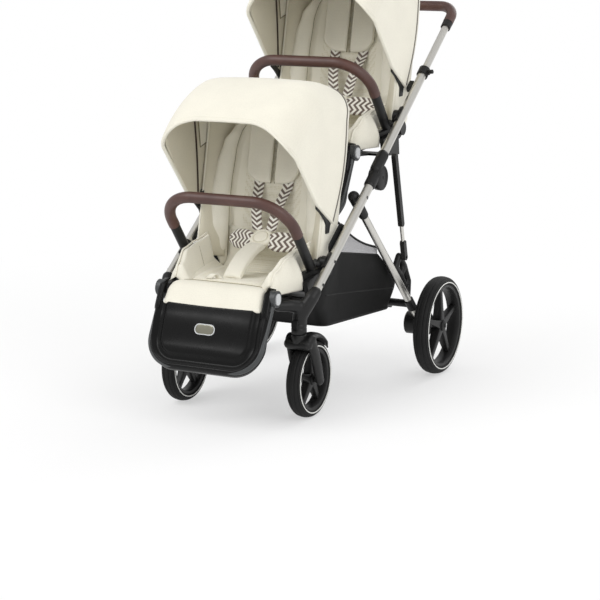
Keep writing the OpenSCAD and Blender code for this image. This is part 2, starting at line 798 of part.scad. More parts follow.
module swivel_lock(left) color(dark_grey) placed() on_side(left)
    translate([front_wheel_x, swivel.x, lock_low]) difference() {
        translate([-lock_w / 2, -barrel_r - lock_t, 0]) cube([lock_w, 2 * lock_t, lock_h]);
        translate([0, 0, -overrun]) cylinder(h = lock_h + 2 * overrun, r = barrel_r + side_gap);
    }

module swivel_lock_left() swivel_lock(true);
module swivel_lock_right() swivel_lock(false);

// Basket: an open bag between the lower tubes and the rear legs, held by straps on the tubes
basket_front_y = -12;
basket_rear_y = 506;
basket_front_slope = 112;
basket_rear_slope = 18;
basket_floor_drop = 24;
// Height of the rim above the floor's front edge at distances behind the front axle
basket_rim = [[-12, 70], [118, 72], [146, 192], [365, 155], [506, 46]];
basket_waist_share = 0.05;
basket_levels = 6;
strap_w = 16;
strap_t = 3;
strap_shares = [0.35, 0.47];

// Half of the basket's plan as shares of its half width and half length, from the front round to the back
basket_end_shares = [0.14, 0.42, 0.7];
basket_side_shares = [for (v = [-0.84:0.14:0.85]) v];
basket_corner_shares = [0.95, 0.95];
basket_bow_share = 0.04;
basket_plan_shares = concat(
    [for (u = basket_end_shares) [u, basket_bow_share * u * u - 1]],
    [[basket_corner_shares[0], -basket_corner_shares[1]]],
    [for (v = basket_side_shares) [1, v]],
    [basket_corner_shares],
    [for (k = [len(basket_end_shares) - 1:-1:0]) 
        let(u = basket_end_shares[k]) [u, 1 - basket_bow_share * u * u]]);

function basket_point(p, t, inset, floor_z) = let(
    front = mix(basket_front_y + basket_front_slope, basket_front_y, t) + inset,
    back = mix(basket_rear_y - basket_rear_slope, basket_rear_y, t) - inset,
    y = mix(front, back, (p.y + 1) / 2),
    waist = 1 - basket_waist_share * sin(180 * t),
    top = basket_floor_z + lookup(y, basket_rim),
    low = floor_z - basket_floor_drop * (p.y + 1) / 2)
    [(basket_half_w - inset) * waist * p.x, y, mix(low, top, t)];

function basket_ring(t, inset, floor_z) = let(
    half = [for (p = basket_plan_shares) basket_point(p, t, inset, floor_z)])
    concat(half, [for (k = [len(half) - 1:-1:0]) [-half[k].x, half[k].y, half[k].z]]);

module basket() color(fabric_black) placed() {
    inner = [for (k = [0:basket_levels])
        basket_ring(k / basket_levels, basket_wall, basket_floor_z + basket_wall)];
    outer = [for (k = [basket_levels:-1:0]) basket_ring(k / basket_levels, 0, basket_floor_z)];
    loft(concat(inner, outer));
    both_sides() for (share = strap_shares) {
        y = mix(basket_front_y, basket_rear_y, share);
        strap(y, beside(lower_foot, lower_angle, (y - lower_foot.x) / cos(lower_angle), 0).y);
    }
}

// A strap from the basket's rim up to the lower tube's inner side
module strap(y, tube_z) {
    share = (y - basket_front_y) / (basket_rear_y - basket_front_y);
    x0 = basket_half_w - basket_wall - 2 * strap_t;
    x1 = tube_x - tube_r - side_gap;
    rim_z = basket_floor_z + lookup(y, basket_rim) - strap_w;
    translate([0, y + strap_w / 2, 0]) rotate([90, 0, 0]) linear_extrude(strap_w)
        polygon([[x0, rim_z], [basket_half_w + strap_t, rim_z], [x1, tube_z], [x1 - strap_t, tube_z]]);
}

// Seat unit; every module here draws at the seat's hub
module seat_place(rear) placed()
    translate([0, rear ? rear_hub.x : front_hub.x, rear ? rear_hub.y : front_hub.y]) children();

module seat_frame(rear) color(black) seat_place(rear) {
    both_sides() difference() {
        union() {
            x_rod([0, 0], hub_in_x, hub_out_x, hub_r);
            x_rod([0, 0], inner_disc_x, hub_in_x, back_pin_r);
            x_rod(knee, knee_arm_in_x, knee_arm_out_x, arm_r);
            x_rod(knee, knee_arm_in_x, knee_pin_out_x, knee_pin_r);
            seat_arm();
            plate(hub_in_x, hub_out_x - side_gap)
                polygon([[0, 0], knee * seat_web_share, seat_web_low, seat_board_low]);
            bumper_socket();
        }
        bumper_place() rod([bumper_x, -bumper_plug_len - 2 * side_gap, 0], [bumper_x, overrun, 0],
            bumper_plug_r + fit);
    }
    plate(-hub_in_x - side_gap, hub_in_x + side_gap) bar_view(seat_board_low, seat_web_low, seat_board_r);
    plate(-board_front_x, board_front_x) bar_view(seat_board_low, seat_board_front, seat_board_r);
}

// An arm from the hub to the knee, straight at its ends and sloping inwards between them
arm_half_h = arm_r * bar_waist_share;

module seat_arm() rotate([arm_slope, 0, 0]) translate([0, 0, -arm_half_h]) linear_extrude(2 * arm_half_h)
    polygon([[hub_in_x, 0], [hub_out_x - side_gap, 0], [hub_out_x - side_gap, -arm_straight],
        [knee_arm_out_x, arm_straight - arm_len], [knee_arm_out_x, -arm_len],
        [knee_arm_in_x, -arm_len], [knee_arm_in_x, arm_straight - arm_len], [hub_in_x, -arm_straight]]);

module bumper_place() {
    translate([0, bumper_mouth.x, bumper_mouth.y]) rotate([bumper_angle, 0, 0]) children();
}

module bumper_socket() {
    bumper_place() rod([bumper_x, -bumper_socket_len, 0], [bumper_x, 0, 0], bumper_arm_r);
}

// Oval release button of the leg rest, on the knee's outer side
leg_button_r = 12;
leg_button_half = 3;
leg_button_travel = 3;
leg_button_rise = 3;
leg_button_depth = 9;
leg_button_floor_x = knee_out_x - leg_button_depth;

module leg_button_shape(x0, x1, grow) {
    plate(x0, x1) bar_view(knee - [0, leg_button_half], knee + [0, leg_button_half], leg_button_r + grow);
}

module leg_button(rear) color(silver) seat_place(rear)
    leg_button_shape(leg_button_floor_x + leg_button_travel + side_gap, knee_out_x + leg_button_rise, 0);

// Bumper bar: leather bar on two arms whose plugs stand in the seat's sockets
module bumper_arms(rear) color(black) seat_place(rear) bumper_place() both_sides() {
    rod([bumper_x, side_gap, 0], [bumper_x, bumper_arm_len, 0], bumper_arm_r);
    rod([bumper_x, -bumper_plug_len, 0], [bumper_x, side_gap, 0], bumper_plug_r);
}

module bumper_bar(rear) color(leather) seat_place(rear) bumper_place()
    u_bar(bumper_x, bumper_arm_len, bumper_arm_len + bumper_depth, bumper_bend_r, bumper_r);

// Backrest frame: a U tube on two discs, with the canopy's pivots on its sides
module back_frame(rear) color(dark_grey) seat_place(rear) {
    both_sides() {
        difference() {
            x_rod([0, 0], inner_disc_x, hub_in_x - side_gap, back_disc_r);
            x_rod([0, 0], inner_disc_x - overrun, hub_in_x, back_pin_r + fit);
        }
        x_rod(canopy_pivot, back_tube_x, canopy_inner_x, canopy_hub_r - 2 * side_gap);
        x_rod(canopy_pivot, back_tube_x, canopy_half_w, canopy_pin_r);
    }
    for (share = back_bar_shares) back_bar(back_len * share);
    rotate([back_angle, 0, 0])
        u_bar(back_tube_x, back_disc_r - back_tube_r / 2, back_len, back_bend_r, back_tube_r);
}

// A cross bar behind the pad, on an arm from each side of the U tube
back_bar_shares = [0.3, 0.72];
back_bar_r = 5;
// Pads are faceted, so the bars stand this much nearer than a pad's full depth
back_bar_sink = 2.55;
back_bar_arm_w = 4;
back_bar_arm_r = 7;
back_bar_x = back_tube_x - back_tube_r + side_gap;

module back_bar(s) {
    set = back_pad_set + back_pad_t / 2 * (1 + pad_crown_share) + back_bar_r - back_bar_sink;
    tube_place = beside([0, 0], back_angle, s, 0);
    bar_place = beside([0, 0], back_angle, s, -set);
    x_rod(bar_place, -back_bar_x - side_gap, back_bar_x + side_gap, back_bar_r);
    both_sides() plate(back_bar_x, back_bar_x + back_bar_arm_w)
        bar_view(tube_place, bar_place, back_bar_arm_r);
}

// Canopy shells: U sections swept about the pivot, the front one outside the rear one
canopy_inner_x = canopy_half_w - 2 * canopy_wall - 2 * side_gap;
canopy_bend_steps = 6;
canopy_steps = 5;

function canopy_section(half_w, r) = let(
    bend = [for (k = [0:canopy_bend_steps]) let(a = 90 * k / canopy_bend_steps)
        [half_w - canopy_bend_r * (1 - cos(a)), r - canopy_bend_r * (1 - sin(a))]],
    half = concat([[half_w, canopy_hub_r / 2], [half_w, (r - canopy_bend_r) / 2]], bend))
    concat(half, [[0, r + canopy_crown]], [for (k = [len(half) - 1:-1:0]) [-half[k].x, half[k].y]]);

function canopy_drop(a) = canopy_front_drop * pow(max(0, (a - 90) / (canopy_front_angle - 90)), 2);

function canopy_ring(half_w, r, a) = let(
    outer = canopy_section(half_w, r - canopy_drop(a)),
    inner = canopy_section(half_w - canopy_wall, r - canopy_drop(a) - canopy_wall))
    [for (p = concat(outer, [for (k = [len(inner) - 1:-1:0]) inner[k]]))
        let(q = beside(canopy_pivot, a, p.y, 0)) [p.x, q.x, q.y]];

module canopy_shell(half_w, r, a0, a1) {
    loft([for (k = [0:canopy_steps]) canopy_ring(half_w, r, mix(a1, a0, k / canopy_steps))]);
}

module canopy_rear(rear) color(cream) seat_place(rear) {
    half_w = canopy_half_w - canopy_wall - side_gap;
    r = canopy_r - canopy_wall - canopy_front_drop - 4 * side_gap;
    difference() {
        union() {
            canopy_shell(half_w, r, canopy_rear_angle, canopy_split_angle + canopy_lap_angle);
            both_sides() x_rod(canopy_pivot, half_w - canopy_wall, half_w, canopy_hub_r);
        }
        both_sides() x_rod(canopy_pivot, 0, canopy_half_w, canopy_pin_r + fit);
    }
}

module canopy_front(rear) color(cream) seat_place(rear) difference() {
    union() {
        canopy_shell(canopy_half_w, canopy_r, canopy_split_angle, canopy_front_angle);
        both_sides() x_rod(canopy_pivot, canopy_half_w - canopy_wall, canopy_half_w, canopy_hub_r);
    }
    both_sides() x_rod(canopy_pivot, 0, canopy_half_w + overrun, canopy_pin_r + fit);
}

// Pads: places along the back, the seat and the leg rest, from each one's own start
pad_steps = 14;
end_round_share = 0.14;
end_least_share = 0.06;
// Thinner and narrower towards both ends, as a stuffed cover is
function end_round(t) =
    sqrt(max(end_least_share, 1 - pow(max(0, 1 - min(t, 1 - t) / end_round_share), 2)));

back_pad_start = 34;
back_pad_end = 446;
back_pad_w = 166;
back_pad_t = 30;
back_pad_set = 80;
back_wing = 66;
back_wing_start_share = 0.35;
back_top_share = 0.62;
back_narrow_share = 0.3;
back_end_share = 0.9;

function back_pad_ring(t) = let(
    s = mix(back_pad_start, back_pad_end, t),
    centre = beside([0, 0], back_angle, s, -back_pad_set),
    top = ease((t - back_top_share) / (1 - back_top_share)))
    pad_ring(centre, back_angle, back_pad_w * (1 - back_narrow_share * top) * mix(back_end_share, 1, end_round(t)),
        back_pad_t * end_round(t), back_wing * ease(t / back_wing_start_share) * (1 - top / 2));

module back_pad(rear) color(cream) seat_place(rear)
    loft([for (k = [0:pad_steps]) back_pad_ring(k / pad_steps)]);

function seat_pad_ring(t) = let(
    centre = mix(seat_pad_front, seat_pad_rear, t) - [0, seat_lip * pow(1 - ease(t / seat_lip_share), 2)],
    v = seat_pad_rear - seat_pad_front,
    taper = mix(seat_front_w_share, 1, ease(t / seat_taper_share)),
    rise = (t - seat_wing_start_share) / (seat_wing_end_share - seat_wing_start_share))
    pad_ring(centre, atan2(v.y, v.x), seat_pad_w * taper * mix(seat_end_share, 1, end_round(t)),
        seat_pad_t * end_round(t), seat_wing * ease(rise));

module seat_pad(rear) color(cream) seat_place(rear)
    loft([for (k = [0:pad_steps]) seat_pad_ring(k / pad_steps)]);

// Leg rest: U tube on two discs at the knee, and the pad inside it
module knee_place() {
    translate([0, knee.x, knee.y]) rotate([leg_rest_angle, 0, 0]) children();
}

module leg_frame(rear) color(dark_grey) seat_place(rear) {
    difference() {
        both_sides() x_rod(knee, knee_disc_in_x, knee_out_x, knee_disc_r);
        both_sides() x_rod(knee, 0, knee_pin_out_x + side_gap, knee_pin_r + fit);
        leg_button_shape(leg_button_floor_x, knee_out_x + leg_button_rise, side_gap);
    }
    knee_place() u_bar(leg_tube_x, knee_disc_r - leg_tube_r / 2, leg_rest_len, leg_bend_r, leg_tube_r);
}

leg_pad_start = 34;
leg_pad_gap = -0.5;
leg_pad_t = 28;
leg_pad_set = 1;
leg_end_share = 0.94;

function leg_pad_half(s) = let(
    bend = leg_bend_r - leg_tube_r - leg_pad_gap,
    past = max(0, s - (leg_rest_len - leg_bend_r)))
    leg_tube_x - leg_bend_r + sqrt(max(0, bend * bend - past * past));

function leg_pad_ring(t) = let(
    s = mix(leg_pad_start, leg_rest_len - leg_tube_r - rest_gap, t),
    centre = beside(knee, leg_rest_angle, s, -leg_pad_set))
    pad_ring(centre, leg_rest_angle, leg_pad_half(s) * mix(leg_end_share, 1, end_round(t)),
        leg_pad_t * end_round(t), 0);

module leg_pad(rear) color(fabric_black) seat_place(rear)
    loft([for (k = [0:pad_steps]) leg_pad_ring(k / pad_steps)]);

// Harness buckle on the strap between the legs, with its round release button
buckle_place = [22, 60];
crotch_t = 5;
strap_foot_rise = seat_pad_t / 2 * (1 + pad_crown_share) + crotch_t / 2 + 2 * rest_gap;
buckle_r = 31;
buckle_t = 14;
buckle_angle = 128;
strap_foot_share = 0.38;
strap_foot = mix(seat_pad_front, seat_pad_rear, strap_foot_share) + [0, strap_foot_rise];
crotch_w = 44;
buckle_button_r = 20;
buckle_button_travel = 3;
buckle_button_rise = 4;

module buckle_plane() {
    translate([0, buckle_place.x, buckle_place.y]) rotate([buckle_angle - 90, 0, 0]) children();
}

module buckle(rear) color(cream) seat_place(rear) difference() {
    union() {
        buckle_plane() cylinder(h = buckle_t, r = buckle_r, center = true);
        plate(-crotch_w / 2, crotch_w / 2) bar_view(strap_foot, buckle_place, crotch_t / 2);
    }
    buckle_plane() translate([0, 0, buckle_t / 2 - buckle_button_travel - buckle_button_rise])
        cylinder(h = buckle_t, r = buckle_button_r + fit);
}

module buckle_button(rear) color(cream) seat_place(rear) buckle_plane()
    translate([0, 0, buckle_t / 2 - buckle_button_rise + side_gap / 2])
        cylinder(h = 2 * buckle_button_rise, r = buckle_button_r);

module front_seat_frame() seat_frame(false);
module front_seat_pad() seat_pad(false);
module front_back_frame() back_frame(false);
module front_back_pad() back_pad(false);
module front_leg_frame() leg_frame(false);
module front_leg_pad() leg_pad(false);
module front_leg_button() leg_button(false);
module front_bumper_bar() bumper_bar(false);
module front_bumper_arms() bumper_arms(false);
module front_canopy_rear() canopy_rear(false);
module front_canopy_front() canopy_front(false);
module front_buckle() buckle(false);
module front_buckle_button() buckle_button(false);
module rear_seat_frame() seat_frame(true);
module rear_seat_pad() seat_pad(true);
module rear_back_frame() back_frame(true);
module rear_back_pad() back_pad(true);
module rear_leg_frame() leg_frame(true);
module rear_leg_pad() leg_pad(true);
module rear_leg_button() leg_button(true);
module rear_bumper_bar() bumper_bar(true);
module rear_bumper_arms() bumper_arms(true);
module rear_canopy_rear() canopy_rear(true);
module rear_canopy_front() canopy_front(true);
module rear_buckle() buckle(true);
module rear_buckle_button() buckle_button(true);

lower_tubes();
hinge_lower();
hinge_pins();
front_crossbar();
front_adapters();
basket();
upper_tubes();
hinge_upper();
upper_collars();
rear_adapters();
fold_slider_left();
fold_slider_right();
handle_tubes();
handle_grip();
handle_collars();
handle_button();
rear_legs();
rear_leg_fittings();
rear_axle();
brake_pedal();
link_sleeves();
link_rods();
rear_tyre_left();
rear_tyre_right();
rear_rim_left();
rear_rim_right();
front_tyre_left();
front_tyre_right();
front_rim_left();
front_rim_right();
caster_fork_left();
caster_fork_right();
swivel_lock_left();
swivel_lock_right();
front_seat_frame();
front_seat_pad();
front_back_frame();
front_back_pad();
front_leg_frame();
front_leg_pad();
front_leg_button();
front_bumper_bar();
front_bumper_arms();
front_canopy_rear();
front_canopy_front();
front_buckle();
front_buckle_button();
rear_seat_frame();
rear_seat_pad();
rear_back_frame();
rear_back_pad();
rear_leg_frame();
rear_leg_pad();
rear_leg_button();
rear_bumper_bar();
rear_bumper_arms();
rear_canopy_rear();
rear_canopy_front();
rear_buckle();
rear_buckle_button();
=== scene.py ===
"""Looks of the in-line twin pushchair: cloth, leather, webbing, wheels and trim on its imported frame."""

import math

import bmesh
import bpy
from mathutils import Matrix, Vector
from mathutils.bvhtree import BVHTree


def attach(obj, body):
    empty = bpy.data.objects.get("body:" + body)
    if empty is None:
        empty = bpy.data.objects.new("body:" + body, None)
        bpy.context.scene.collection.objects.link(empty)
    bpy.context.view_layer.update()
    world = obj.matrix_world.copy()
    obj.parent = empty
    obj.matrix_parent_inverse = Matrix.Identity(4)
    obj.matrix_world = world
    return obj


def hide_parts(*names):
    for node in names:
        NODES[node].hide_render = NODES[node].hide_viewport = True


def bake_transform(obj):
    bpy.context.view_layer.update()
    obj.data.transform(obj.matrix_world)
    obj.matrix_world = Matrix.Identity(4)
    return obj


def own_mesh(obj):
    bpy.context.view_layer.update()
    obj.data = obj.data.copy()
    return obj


bl_info = {
    "name": "Twin pushchair looks",
    "version": (1, 0, 0),
    "blender": (4, 5, 0),
    "location": "3D View > Sidebar > Pushchair",
    "description": "Dresses the pushchair's frame with seats, canopies, harnesses, basket and trim",
    "category": "Object",
}

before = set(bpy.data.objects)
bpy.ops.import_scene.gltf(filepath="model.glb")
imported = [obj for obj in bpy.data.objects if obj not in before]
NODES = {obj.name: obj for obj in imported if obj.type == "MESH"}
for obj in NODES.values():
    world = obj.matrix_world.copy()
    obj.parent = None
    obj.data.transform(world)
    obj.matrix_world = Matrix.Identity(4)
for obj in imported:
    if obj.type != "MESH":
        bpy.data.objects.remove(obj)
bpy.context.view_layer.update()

# Places are in mm from the front axle and the floor, as in the part's source.
# On the seats they are in mm from the seat's hub.
MM = 0.001
ORIGIN_Y = 321
HUBS = {"front": (66, 389), "rear": (530, 711)}
CARRIER = {"front": "frame", "rear": "upper_frame"}
KNEE = (-216, -47)
BACK_ANGLE = 78
LEG_ANGLE = 242.5
CANOPY_PIVOT = (35.3, 166.3)
CANOPY_R = 316
CANOPY_HALF_W = 197
CANOPY_BEND = 76
CANOPY_FRONT = 133
CANOPY_REAR = 62
TUBE_X = 222
HINGE = (350, 595)
LOWER_ANGLE = 36
UPPER_ANGLE = 37.25
FRONT_WHEEL = (189, 0, 102.5)
REAR_WHEEL = (303, 597, 141)


def at(x, y, z):
    """Row-frame point of a place in mm from the front axle."""
    return Vector((x, y - ORIGIN_Y, z)) * MM


def beside(p, angle, along, off):
    """Side-view place: along a line at angle from p, and off to its left."""
    c, s = math.cos(math.radians(angle)), math.sin(math.radians(angle))
    return p[0] + along * c - off * s, p[1] + along * s + off * c


def seat_at(end, x, y, z):
    """Place in mm from a seat's hub."""
    hub = HUBS[end]
    return at(x, hub[0] + y, hub[1] + z)


def back_at(end, x, along, off):
    """Place on a backrest: along its tube from the hub, off in front of the tube."""
    return seat_at(end, x, *beside((0, 0), BACK_ANGLE, along, off))


def leg_at(end, x, along, off):
    """Place on a leg rest: along it from the knee, off in front of it."""
    return seat_at(end, x, *beside(KNEE, LEG_ANGLE, along, -off))


def ease(t):
    """Smooth step from 0 to 1."""
    t = min(1.0, max(0.0, t))
    return t * t * (3 - 2 * t)


def mix(a, b, t):
    """Value at share t of the way from a to b."""
    return a + (b - a) * t


def curve_through(knots, t):
    """Smooth value at t through (place, value) knots."""
    if t <= knots[0][0]:
        return knots[0][1]
    for (t0, v0), (t1, v1) in zip(knots, knots[1:]):
        if t <= t1:
            return mix(v0, v1, ease((t - t0) / (t1 - t0)))
    return knots[-1][1]


def straight_through(knots, t):
    """Value at t on straight lines through (place, value) knots."""
    for (t0, v0), (t1, v1) in zip(knots, knots[1:]):
        if t <= t1:
            return mix(v0, v1, max(0.0, (t - t0) / (t1 - t0)))
    return knots[-1][1]


# ---------------------------------------------------------------- materials


def linear(hex_colour):
    """Linear RGBA of an sRGB hex colour."""
    def channel(c):
        return c / 12.92 if c <= 0.04045 else ((c + 0.055) / 1.055) ** 2.4
    return (*(channel(int(hex_colour[i:i + 2], 16) / 255) for i in (1, 3, 5)), 1.0)


def add(tree, kind, inputs=None, **settings):
    """Adds a node with its settings, and sets or links its inputs."""
    node = tree.nodes.new(kind)
    for key, value in settings.items():
        setattr(node, key, value)
    for key, value in (inputs or {}).items():
        if isinstance(value, bpy.types.NodeSocket):
            tree.links.new(value, node.inputs[key])
        else:
            node.inputs[key].default_value = value
    return node


def start_finish(name, constants):
    """A named material, its node tree and its shader with the constants set on the shader's own sockets."""
    material = bpy.data.materials.new(name)
    material.use_nodes = True
    tree = material.node_tree
    shader = tree.nodes["Principled BSDF"]
    for key, value in constants.items():
        shader.inputs[key].default_value = value
    return material, tree, shader


def per_mm(size):
    """Texture scale on metres that gives a pattern of this size in mm."""
    return 1000 / size


def woven_cloth(name, colour, thread, roughness=0.85, sheen=0.25, bump=0.25, spread=0.05, shine=0.5):
    """Woven polyester: matt, a soft sheen at grazing light, a fine thread grain and faint cloudy colour."""
    material, tree, shader = start_finish(name, {"Sheen Weight": sheen, "Sheen Roughness": 0.5, "IOR": 1.45,
                                                 "Specular IOR Level": shine})
    place = add(tree, "ShaderNodeTexCoord").outputs["Object"]
    cloud = add(tree, "ShaderNodeTexNoise", {"Vector": place, "Scale": per_mm(60), "Detail": 3.0})
    # threads are drawn a few times coarser than real ones, so that they show at this size
    thread_grain = add(
        tree, "ShaderNodeTexVoronoi",
        {"Vector": place, "Scale": per_mm(thread), "Randomness": 0.65})
    base = tuple(colour)
    dark = (*(c * (1 - 2 * spread) for c in base[:3]), 1.0)
    tint = add(
        tree, "ShaderNodeMix",
        {"Factor": cloud.outputs["Fac"], "A": dark, "B": base}, data_type="RGBA")
    shade = add(
        tree, "ShaderNodeMapRange",
        {"Value": thread_grain.outputs["Distance"], "From Max": 0.8, "To Min": 1.0,
         "To Max": 1 - 1.6 * spread})
    colour_out = add(
        tree, "ShaderNodeMix",
        {"Factor": 1.0, "A": tint.outputs["Result"], "B": shade.outputs["Result"]},
        data_type="RGBA", blend_type="MULTIPLY")
    rough = add(
        tree, "ShaderNodeMapRange",
        {"Value": cloud.outputs["Fac"], "To Min": roughness - 0.06, "To Max": roughness + 0.06})
    relief = add(
        tree, "ShaderNodeBump",
        {"Height": thread_grain.outputs["Distance"], "Strength": bump, "Distance": thread * 0.25 * MM},
        invert=True)
    tree.links.new(colour_out.outputs["Result"], shader.inputs["Base Color"])
    tree.links.new(rough.outputs["Result"], shader.inputs["Roughness"])
    tree.links.new(relief.outputs["Normal"], shader.inputs["Normal"])
    return material


def spacer_knit(name, colour, dimple_shade_colour, half_width):
    """Padded cover: smooth weave on the bolsters and an open, dimpled knit on the middle panel, with painted
    shade in the dimples that darkens the middle panel.
    """
    material, tree, shader = start_finish(name, {"Sheen Weight": 0.3, "Sheen Roughness": 0.45, "IOR": 1.45})
    place = add(tree, "ShaderNodeTexCoord").outputs["Object"]
    cloud = add(tree, "ShaderNodeTexNoise", {"Vector": place, "Scale": per_mm(70), "Detail": 3.0})
    across = add(tree, "ShaderNodeSeparateXYZ", {"Vector": place})
    side = add(tree, "ShaderNodeMath", {0: across.outputs["X"]}, operation="ABSOLUTE")
    middle = add(
        tree, "ShaderNodeMapRange",
        {"Value": side.outputs["Value"], "From Min": (half_width - 1) * MM,
         "From Max": (half_width + 1) * MM, "To Min": 1.0, "To Max": 0.0})
    # knit dimples about 4 mm apart, drawn a little coarser than real so that they show
    dimple = add(tree, "ShaderNodeTexVoronoi", {"Vector": place, "Scale": per_mm(4.2), "Randomness": 0.2})
    hole = add(
        tree, "ShaderNodeMapRange",
        {"Value": dimple.outputs["Distance"], "From Min": 0.15, "From Max": 0.5})
    weave = add(tree, "ShaderNodeTexVoronoi", {"Vector": place, "Scale": per_mm(2.4), "Randomness": 0.7})
    height = add(
        tree, "ShaderNodeMix",
        {"Factor": middle.outputs["Result"], "A": weave.outputs["Distance"], "B": hole.outputs["Result"]},
        data_type="FLOAT")
    base = tuple(colour)
    pale = (*(c * 0.93 for c in base[:3]), 1.0)
    tint = add(
        tree, "ShaderNodeMix",
        {"Factor": cloud.outputs["Fac"], "A": pale, "B": base}, data_type="RGBA")
    # painted shade: the dimples take a darker cream, which also darkens the middle panel as if it lay in
    # shade
    knit_dimple_shade = add(
        tree, "ShaderNodeMix",
        {"Factor": hole.outputs["Result"], "A": tuple(dimple_shade_colour), "B": tint.outputs["Result"]},
        data_type="RGBA")
    colour_out = add(
        tree, "ShaderNodeMix",
        {"Factor": middle.outputs["Result"], "A": tint.outputs["Result"], "B": knit_dimple_shade.outputs["Result"]},
        data_type="RGBA")
    rough = add(tree, "ShaderNodeMapRange", {"Value": cloud.outputs["Fac"], "To Min": 0.78, "To Max": 0.92})
    relief = add(
        tree, "ShaderNodeBump",
        {"Height": height.outputs["Result"], "Strength": 0.3, "Distance": 0.8 * MM})
    tree.links.new(colour_out.outputs["Result"], shader.inputs["Base Color"])
    tree.links.new(rough.outputs["Result"], shader.inputs["Roughness"])
    tree.links.new(relief.outputs["Normal"], shader.inputs["Normal"])
    return material


def chevron_webbing(name, light, dark, pitch, width):
    """Jacquard webbing: taupe and white chevrons that follow the strap, with a ribbed weave and matt face."""
    material, tree, shader = start_finish(name, {"Sheen Weight": 0.15, "IOR": 1.45})
    place = add(tree, "ShaderNodeUVMap", uv_map="cloth").outputs["UV"]
    split = add(tree, "ShaderNodeSeparateXYZ", {"Vector": place})
    # the zigzag repeats every strap width, and its point hangs by 0.85 of half that width
    turn = add(tree, "ShaderNodeMath", {0: split.outputs["X"], 1: width * MM / 2}, operation="PINGPONG")
    climb = add(
        tree, "ShaderNodeMath",
        {0: turn.outputs["Value"], 1: -0.85, 2: split.outputs["Y"]}, operation="MULTIPLY_ADD")
    step = add(tree, "ShaderNodeMath", {0: climb.outputs["Value"], 1: per_mm(pitch)}, operation="MULTIPLY")
    stripe = add(tree, "ShaderNodeMath", {0: step.outputs["Value"], 1: 0.5}, operation="PINGPONG")
    edge = add(
        tree, "ShaderNodeMapRange",
        {"Value": stripe.outputs["Value"], "From Min": 0.22, "From Max": 0.28})
    fuzz = add(tree, "ShaderNodeTexNoise", {"Vector": place, "Scale": per_mm(1.5), "Detail": 2.0})
    thread = add(tree, "ShaderNodeMapRange", {"Value": fuzz.outputs["Fac"], "To Min": 0.85, "To Max": 1.1})
    stripes = add(
        tree, "ShaderNodeMix",
        {"Factor": edge.outputs["Result"], "A": tuple(dark), "B": tuple(light)}, data_type="RGBA")
    colour_out = add(
        tree, "ShaderNodeMix",
        {"Factor": 1.0, "A": stripes.outputs["Result"], "B": thread.outputs["Result"]},
        data_type="RGBA", blend_type="MULTIPLY")
    rough = add(tree, "ShaderNodeMapRange", {"Value": fuzz.outputs["Fac"], "To Min": 0.7, "To Max": 0.9})
    rib = add(
        tree, "ShaderNodeTexWave",
        {"Vector": place, "Scale": per_mm(2) / 20, "Distortion": 0.4}, bands_direction="Y")
    relief = add(
        tree, "ShaderNodeBump",
        {"Height": rib.outputs["Fac"], "Strength": 0.3, "Distance": 0.4 * MM})
    tree.links.new(colour_out.outputs["Result"], shader.inputs["Base Color"])
    tree.links.new(rough.outputs["Result"], shader.inputs["Roughness"])
    tree.links.new(relief.outputs["Normal"], shader.inputs["Normal"])
    return material


def grained_leather(name, colour, worn):
    """Embossed leather: pebbled grain, satin gloss, and a warmer tone where hands have polished it."""
    material, tree, shader = start_finish(name, {"IOR": 1.5, "Coat Weight": 0.12, "Coat Roughness": 0.35})
    place = add(tree, "ShaderNodeTexCoord").outputs["Object"]
    # pebbles of about 1.6 mm, and wear patches of about 50 mm
    pebble = add(
        tree, "ShaderNodeTexVoronoi",
        {"Vector": place, "Scale": per_mm(1.6), "Randomness": 0.9}, feature="SMOOTH_F1")
    wear = add(tree, "ShaderNodeTexNoise", {"Vector": place, "Scale": per_mm(50), "Detail": 4.0})
    patch = add(
        tree, "ShaderNodeMapRange",
        {"Value": wear.outputs["Fac"], "From Min": 0.35, "From Max": 0.75})
    tint = add(
        tree, "ShaderNodeMix",
        {"Factor": patch.outputs["Result"], "A": tuple(colour), "B": tuple(worn)}, data_type="RGBA")
    crease = add(
        tree, "ShaderNodeMapRange",
        {"Value": pebble.outputs["Distance"], "From Max": 0.7, "To Min": 1.06, "To Max": 0.8})
    colour_out = add(
        tree, "ShaderNodeMix",
        {"Factor": 1.0, "A": tint.outputs["Result"], "B": crease.outputs["Result"]},
        data_type="RGBA", blend_type="MULTIPLY")
    rough = add(
        tree, "ShaderNodeMapRange",
        {"Value": patch.outputs["Result"], "To Min": 0.52, "To Max": 0.4})
    relief = add(
        tree, "ShaderNodeBump",
        {"Height": pebble.outputs["Distance"], "Strength": 0.35, "Distance": 0.3 * MM}, invert=True)
    tree.links.new(colour_out.outputs["Result"], shader.inputs["Base Color"])
    tree.links.new(rough.outputs["Result"], shader.inputs["Roughness"])
    tree.links.new(relief.outputs["Normal"], shader.inputs["Normal"])
    return material


